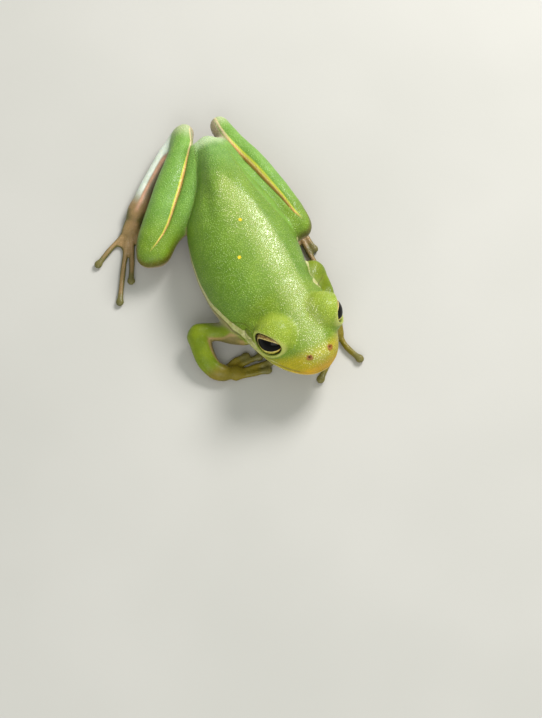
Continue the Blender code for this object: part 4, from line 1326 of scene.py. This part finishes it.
def skin_material():
    """Granular wet skin with the frog's markings, painted shade and painted glints."""
    m = Shading("skin")
    tone = m.tone("tone")
    broad = m.noise(0.55, 3.0)
    patchy = m.noise(2.2, 4.0)
    fine = m.noise(7.0, 3.0)
    distance, chance = m.cells(4.2)
    grain = m.field("grain")
    glint = m.field("glint")

    # Green varies in patches, with paler grains and painted shade in the gaps between them
    light = m.tinted(tone, (1.12, 1.09, 1.05))
    colour = m.mix(m.step(broad, 0.30, 0.70), m.tinted(tone, (0.84, 0.88, 0.80)), light)
    gap_shade = m.times(m.step(distance, 0.34, 0.60), grain)
    colour = m.over(colour, gap_shade, 0.55, m.tinted(tone, (0.55, 0.60, 0.50)))
    middle = m.times(m.step(distance, 0.42, 0.12), grain)
    colour = m.over(colour, middle, 0.30, m.mix(0.35, light, MARKS["grain"]))
    # Painted highlights: glints on the grains and a lighter sheen where the back catches the light
    bright = m.plus(chance, m.math("SUBTRACT", m.times(glint, 1.4), 0.70))
    glint_dots = m.times(m.step(bright, 0.10, 1.0), m.step(distance, 0.38, 0.12))
    glint_dots = m.times(glint_dots, m.step(glint, 0.0, 0.3))
    colour = m.over(colour, m.step(glint, 0.25, 1.0), 0.30, MARKS["sheen"])
    colour = m.over(colour, glint_dots, 0.85, MARKS["fleck"])

    # Lines along the shank beside the thigh
    heel = m.field("heel")
    line = m.plus(m.field("leg_line"), m.about(fine, 0.10))
    line_on = m.field("leg_on")
    for place, half, soft, strength, on_leg, at_heel in LEG_STREAKS:
        streak = m.times(m.band(line, place, half, soft), line_on)
        colour = m.over(colour, streak, strength, m.mix(heel, on_leg, at_heel))

    # Painted shade in the creases and along the folds
    shade = m.times(line_on, m.math("SUBTRACT", 1.0, heel))
    shade = m.times(m.band(line, -0.02, 0.03, 0.08), shade)
    shade = m.most(shade, m.band(m.field("heel_fold"), 0.0, 0.05, 0.09))
    colour = m.over(colour, shade, 0.75, MARKS["crease"])
    hip = m.times(m.band(m.field("hip_line"), 0.0, 0.06, 0.12), m.field("hip_on"))
    soft_shade = m.most(m.band(m.field("hip_fold"), 0.0, 0.05, 0.12), m.times(hip, 0.7))
    arm = m.band(m.field("arm_fold"), 0.0, 0.06, 0.12)
    soft_shade = m.most(soft_shade, m.times(arm, 0.6))
    colour = m.over(colour, soft_shade, 0.5, MARKS["fold"])

    # Pale stripe with a thin dark edge below it
    wobble = m.about(m.noise(1.6, 3.0), 0.12)
    level = m.plus(m.field("stripe"), wobble)
    stripe_on = m.field("stripe_on")
    rim = m.most(m.band(level, -0.14, 0.09, 0.07), m.times(m.band(level, 0.10, 0.05, 0.06), 0.55))
    colour = m.over(colour, rim, m.times(stripe_on, 0.75), MARKS["stripe_rim"])
    cream = m.mix(m.step(patchy, 0.35, 0.65), MARKS["stripe_dull"], MARKS["stripe"])
    within = m.step(m.plus(m.field("stripe_in"), wobble), -0.04, 0.06)
    colour = m.over(colour, within, m.times(stripe_on, 0.88), cream)

    # Rim of the lids with painted shade at the edge of the opening, nostrils with painted shade in the holes,
    # ears, painted shade along the mouth, and the two spots
    lid = m.field("lid_edge")
    colour = m.over(colour, m.band(lid, 0.34, 0.16, 0.12), 0.65, MARKS["lid"])
    # Painted shade at the very edge of the lid's opening
    colour = m.mix(m.step(lid, 0.17, 0.08), colour, MARKS["lid_edge"])
    nostrils = m.away(*(from_head(on_side(NOSTRIL, side)) for side in (-1.0, 1.0)))
    nose = m.plus(nostrils, m.about(m.noise(2.1, 2.0), 0.8))
    colour = m.over(colour, m.step(nose, 0.62, 0.34), 0.85, MARKS["nostril"])
    # Painted shade in the nostril holes
    colour = m.mix(m.step(nostrils, 0.20, 0.11), colour, MARKS["nostril_hole"])
    colour = m.over(colour, m.band(m.field("ear_line"), -0.02, 0.05, 0.07), 0.55, MARKS["ear_fold"])
    ears = m.away(*(from_head(on_side(EAR_CENTRE, side)) for side in (-1.0, 1.0)))
    colour = m.over(colour, m.band(ears, EAR_RADIUS, 0.05, 0.06), 0.5, MARKS["ear_ring"])
    # Painted shade along the mouth line
    colour = m.over(colour, m.step(m.field("mouth"), 0.20, 0.05), 0.85, MARKS["mouth"])
    spot = m.plus(m.away(*SPOTS), m.about(fine, 0.15))
    colour = m.mix(m.step(spot, 0.30, 0.20), colour, MARKS["spot"])

    # Relief of the grains and the finer wrinkles between them
    height = m.times(m.step(distance, 0.62, 0.05), m.plus(m.times(grain, 0.85), 0.15))
    normal = m.bump(height, 0.075, 1.0)
    normal = m.bump(m.noise(11.0, 3.0), 0.03, 0.55, normal)
    rough = m.node("ShaderNodeMapRange")
    m.put(rough.inputs["Value"], patchy)
    rough.inputs["To Min"].default_value = 0.34
    rough.inputs["To Max"].default_value = 0.56
    return m.finish(
        Base_Color=colour,
        Roughness=rough.outputs["Result"],
        Normal=normal,
        Coat_Normal=normal,
        Specular_IOR_Level=0.25,
        Coat_Weight=m.plus(m.times(glint, 0.55), 0.16),
        Coat_Roughness=0.14,
        Subsurface_Weight=0.12,
        Subsurface_Radius=(0.6, 0.45, 0.15),
        Subsurface_Scale=MILLIMETRE,
    )


def eye_material():
    """Gold iris round a long black pupil, under a wet clear front."""
    m = Shading("eye")
    ahead = m.math("SUBTRACT", m.field("eye_across"), PUPIL_SHIFT[0])
    above = m.math("SUBTRACT", m.field("eye_up"), PUPIL_SHIFT[1])
    reach = m.length(m.math("DIVIDE", ahead, PUPIL[0]), m.math("DIVIDE", above, PUPIL[1]))
    fine = m.noise(5.5, 4.0)
    streaks = m.step(m.noise(2.4, 5.0, m.scaled(m.place, (1.0, 1.0, 2.2))), 0.38, 0.62)
    gold = m.mix(streaks, (0.20, 0.12, 0.035), (0.44, 0.30, 0.11))
    low = m.mix(streaks, (0.26, 0.23, 0.02), (0.56, 0.52, 0.10))
    colour = m.mix(m.step(above, 0.1, -0.7), gold, low)
    colour = m.over(colour, m.step(ahead, 1.1, 1.7), 0.8, (0.70, 0.42, 0.03))
    colour = m.over(colour, m.step(fine, 0.56, 0.66), 0.65, (0.07, 0.04, 0.015))
    edge = m.plus(reach, m.about(fine, 0.10))
    colour = m.over(colour, m.band(edge, 1.11, 0.05, 0.05), 0.8, (0.80, 0.68, 0.26))
    colour = m.mix(m.step(edge, 1.06, 1.0), colour, (0.002, 0.002, 0.002))
    across = m.math("DIVIDE", m.field("eye_across"), OPENING[0] + 0.1)
    up = m.math("DIVIDE", m.field("eye_up"), OPENING[1] + 0.08)
    colour = m.mix(m.step(m.length(across, up), 0.86, 0.96), colour, (0.012, 0.009, 0.004))
    return m.finish(
        Base_Color=colour,
        Roughness=0.35,
        Specular_IOR_Level=0.0,
        Coat_Weight=0.55,
        Coat_Roughness=0.04,
        Coat_IOR=1.28,
    )


def floor_material():
    """Pale matt card with a faint tooth."""
    m = Shading("floor")
    cloud = m.noise(0.02, 3.0)
    tooth = m.noise(1.1, 3.0)
    colour = m.mix(m.step(cloud, 0.3, 0.7), (0.50, 0.50, 0.485), (0.54, 0.537, 0.525))
    return m.finish(Base_Color=colour, Roughness=0.8, Normal=m.bump(tooth, 0.04, 0.25))


# Stage, lights and camera


def look_at(obj, place, aim):
    """Puts an object at a place of the frog's frame and turns it to face another."""
    start = Vector((np.array(place) - ORIGIN) * MILLIMETRE)
    end = Vector((np.array(aim) - ORIGIN) * MILLIMETRE)
    obj.location = start
    obj.rotation_mode = "QUATERNION"
    obj.rotation_quaternion = (end - start).to_track_quat("-Z", "Y")


def build_camera():
    """The camera at the photograph's angle."""
    data = bpy.data.cameras.new("camera")
    data.sensor_fit = "VERTICAL"
    data.sensor_height = 36.0
    data.sensor_width = 36.0
    data.lens = CAMERA_LENS
    data.clip_start = 0.01
    data.clip_end = 10.0
    camera = bpy.data.objects.new("camera", data)
    bpy.context.scene.collection.objects.link(camera)
    back = np.array(
        (
            math.sin(CAMERA_TURN) * math.cos(CAMERA_RISE),
            -math.cos(CAMERA_TURN) * math.cos(CAMERA_RISE),
            math.sin(CAMERA_RISE),
        )
    )
    look_at(camera, np.array(CAMERA_AIM) + back * CAMERA_DISTANCE, CAMERA_AIM)
    bpy.context.scene.camera = camera


def add_light(name, place, size, power, colour):
    """A soft rectangular light."""
    data = bpy.data.lights.new(name, "AREA")
    data.shape = "RECTANGLE"
    data.size = size[0] * MILLIMETRE
    data.size_y = size[1] * MILLIMETRE
    data.energy = power
    data.color = colour
    light = bpy.data.objects.new(name, data)
    bpy.context.scene.collection.objects.link(light)
    look_at(light, place, LIGHT_AIM)


def build_stage():
    """A pale floor, soft lights and an even sky."""
    mesh = bpy.data.meshes.new("floor")
    half = FLOOR_HALF
    corners = [(-half, -half, 0.0), (half, -half, 0.0), (half, half, 0.0), (-half, half, 0.0)]
    mesh.from_pydata(corners, [], [(0, 1, 2, 3)])
    obj = bpy.data.objects.new("floor", mesh)
    bpy.context.scene.collection.objects.link(obj)
    obj.data.materials.append(floor_material())
    for name, light in LIGHTS.items():
        add_light(name, *light)
    world = bpy.data.worlds.new("world")
    world.use_nodes = True
    sky = world.node_tree.nodes["Background"]
    sky.inputs["Color"].default_value = SKY_COLOUR
    sky.inputs["Strength"].default_value = SKY_STRENGTH
    bpy.context.scene.world = world
    bpy.context.scene.view_settings.view_transform = "Standard"


def main():
    """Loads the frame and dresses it."""
    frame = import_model()
    skin, fields = build_skin(frame)
    paint_skin(skin, fields)
    skin.data.materials.append(skin_material())
    eye = eye_material()
    for name, side in (("eye_right", -1.0), ("eye_left", 1.0)):
        build_eye(name, side).data.materials.append(eye)
    build_camera()
    build_stage()


main()
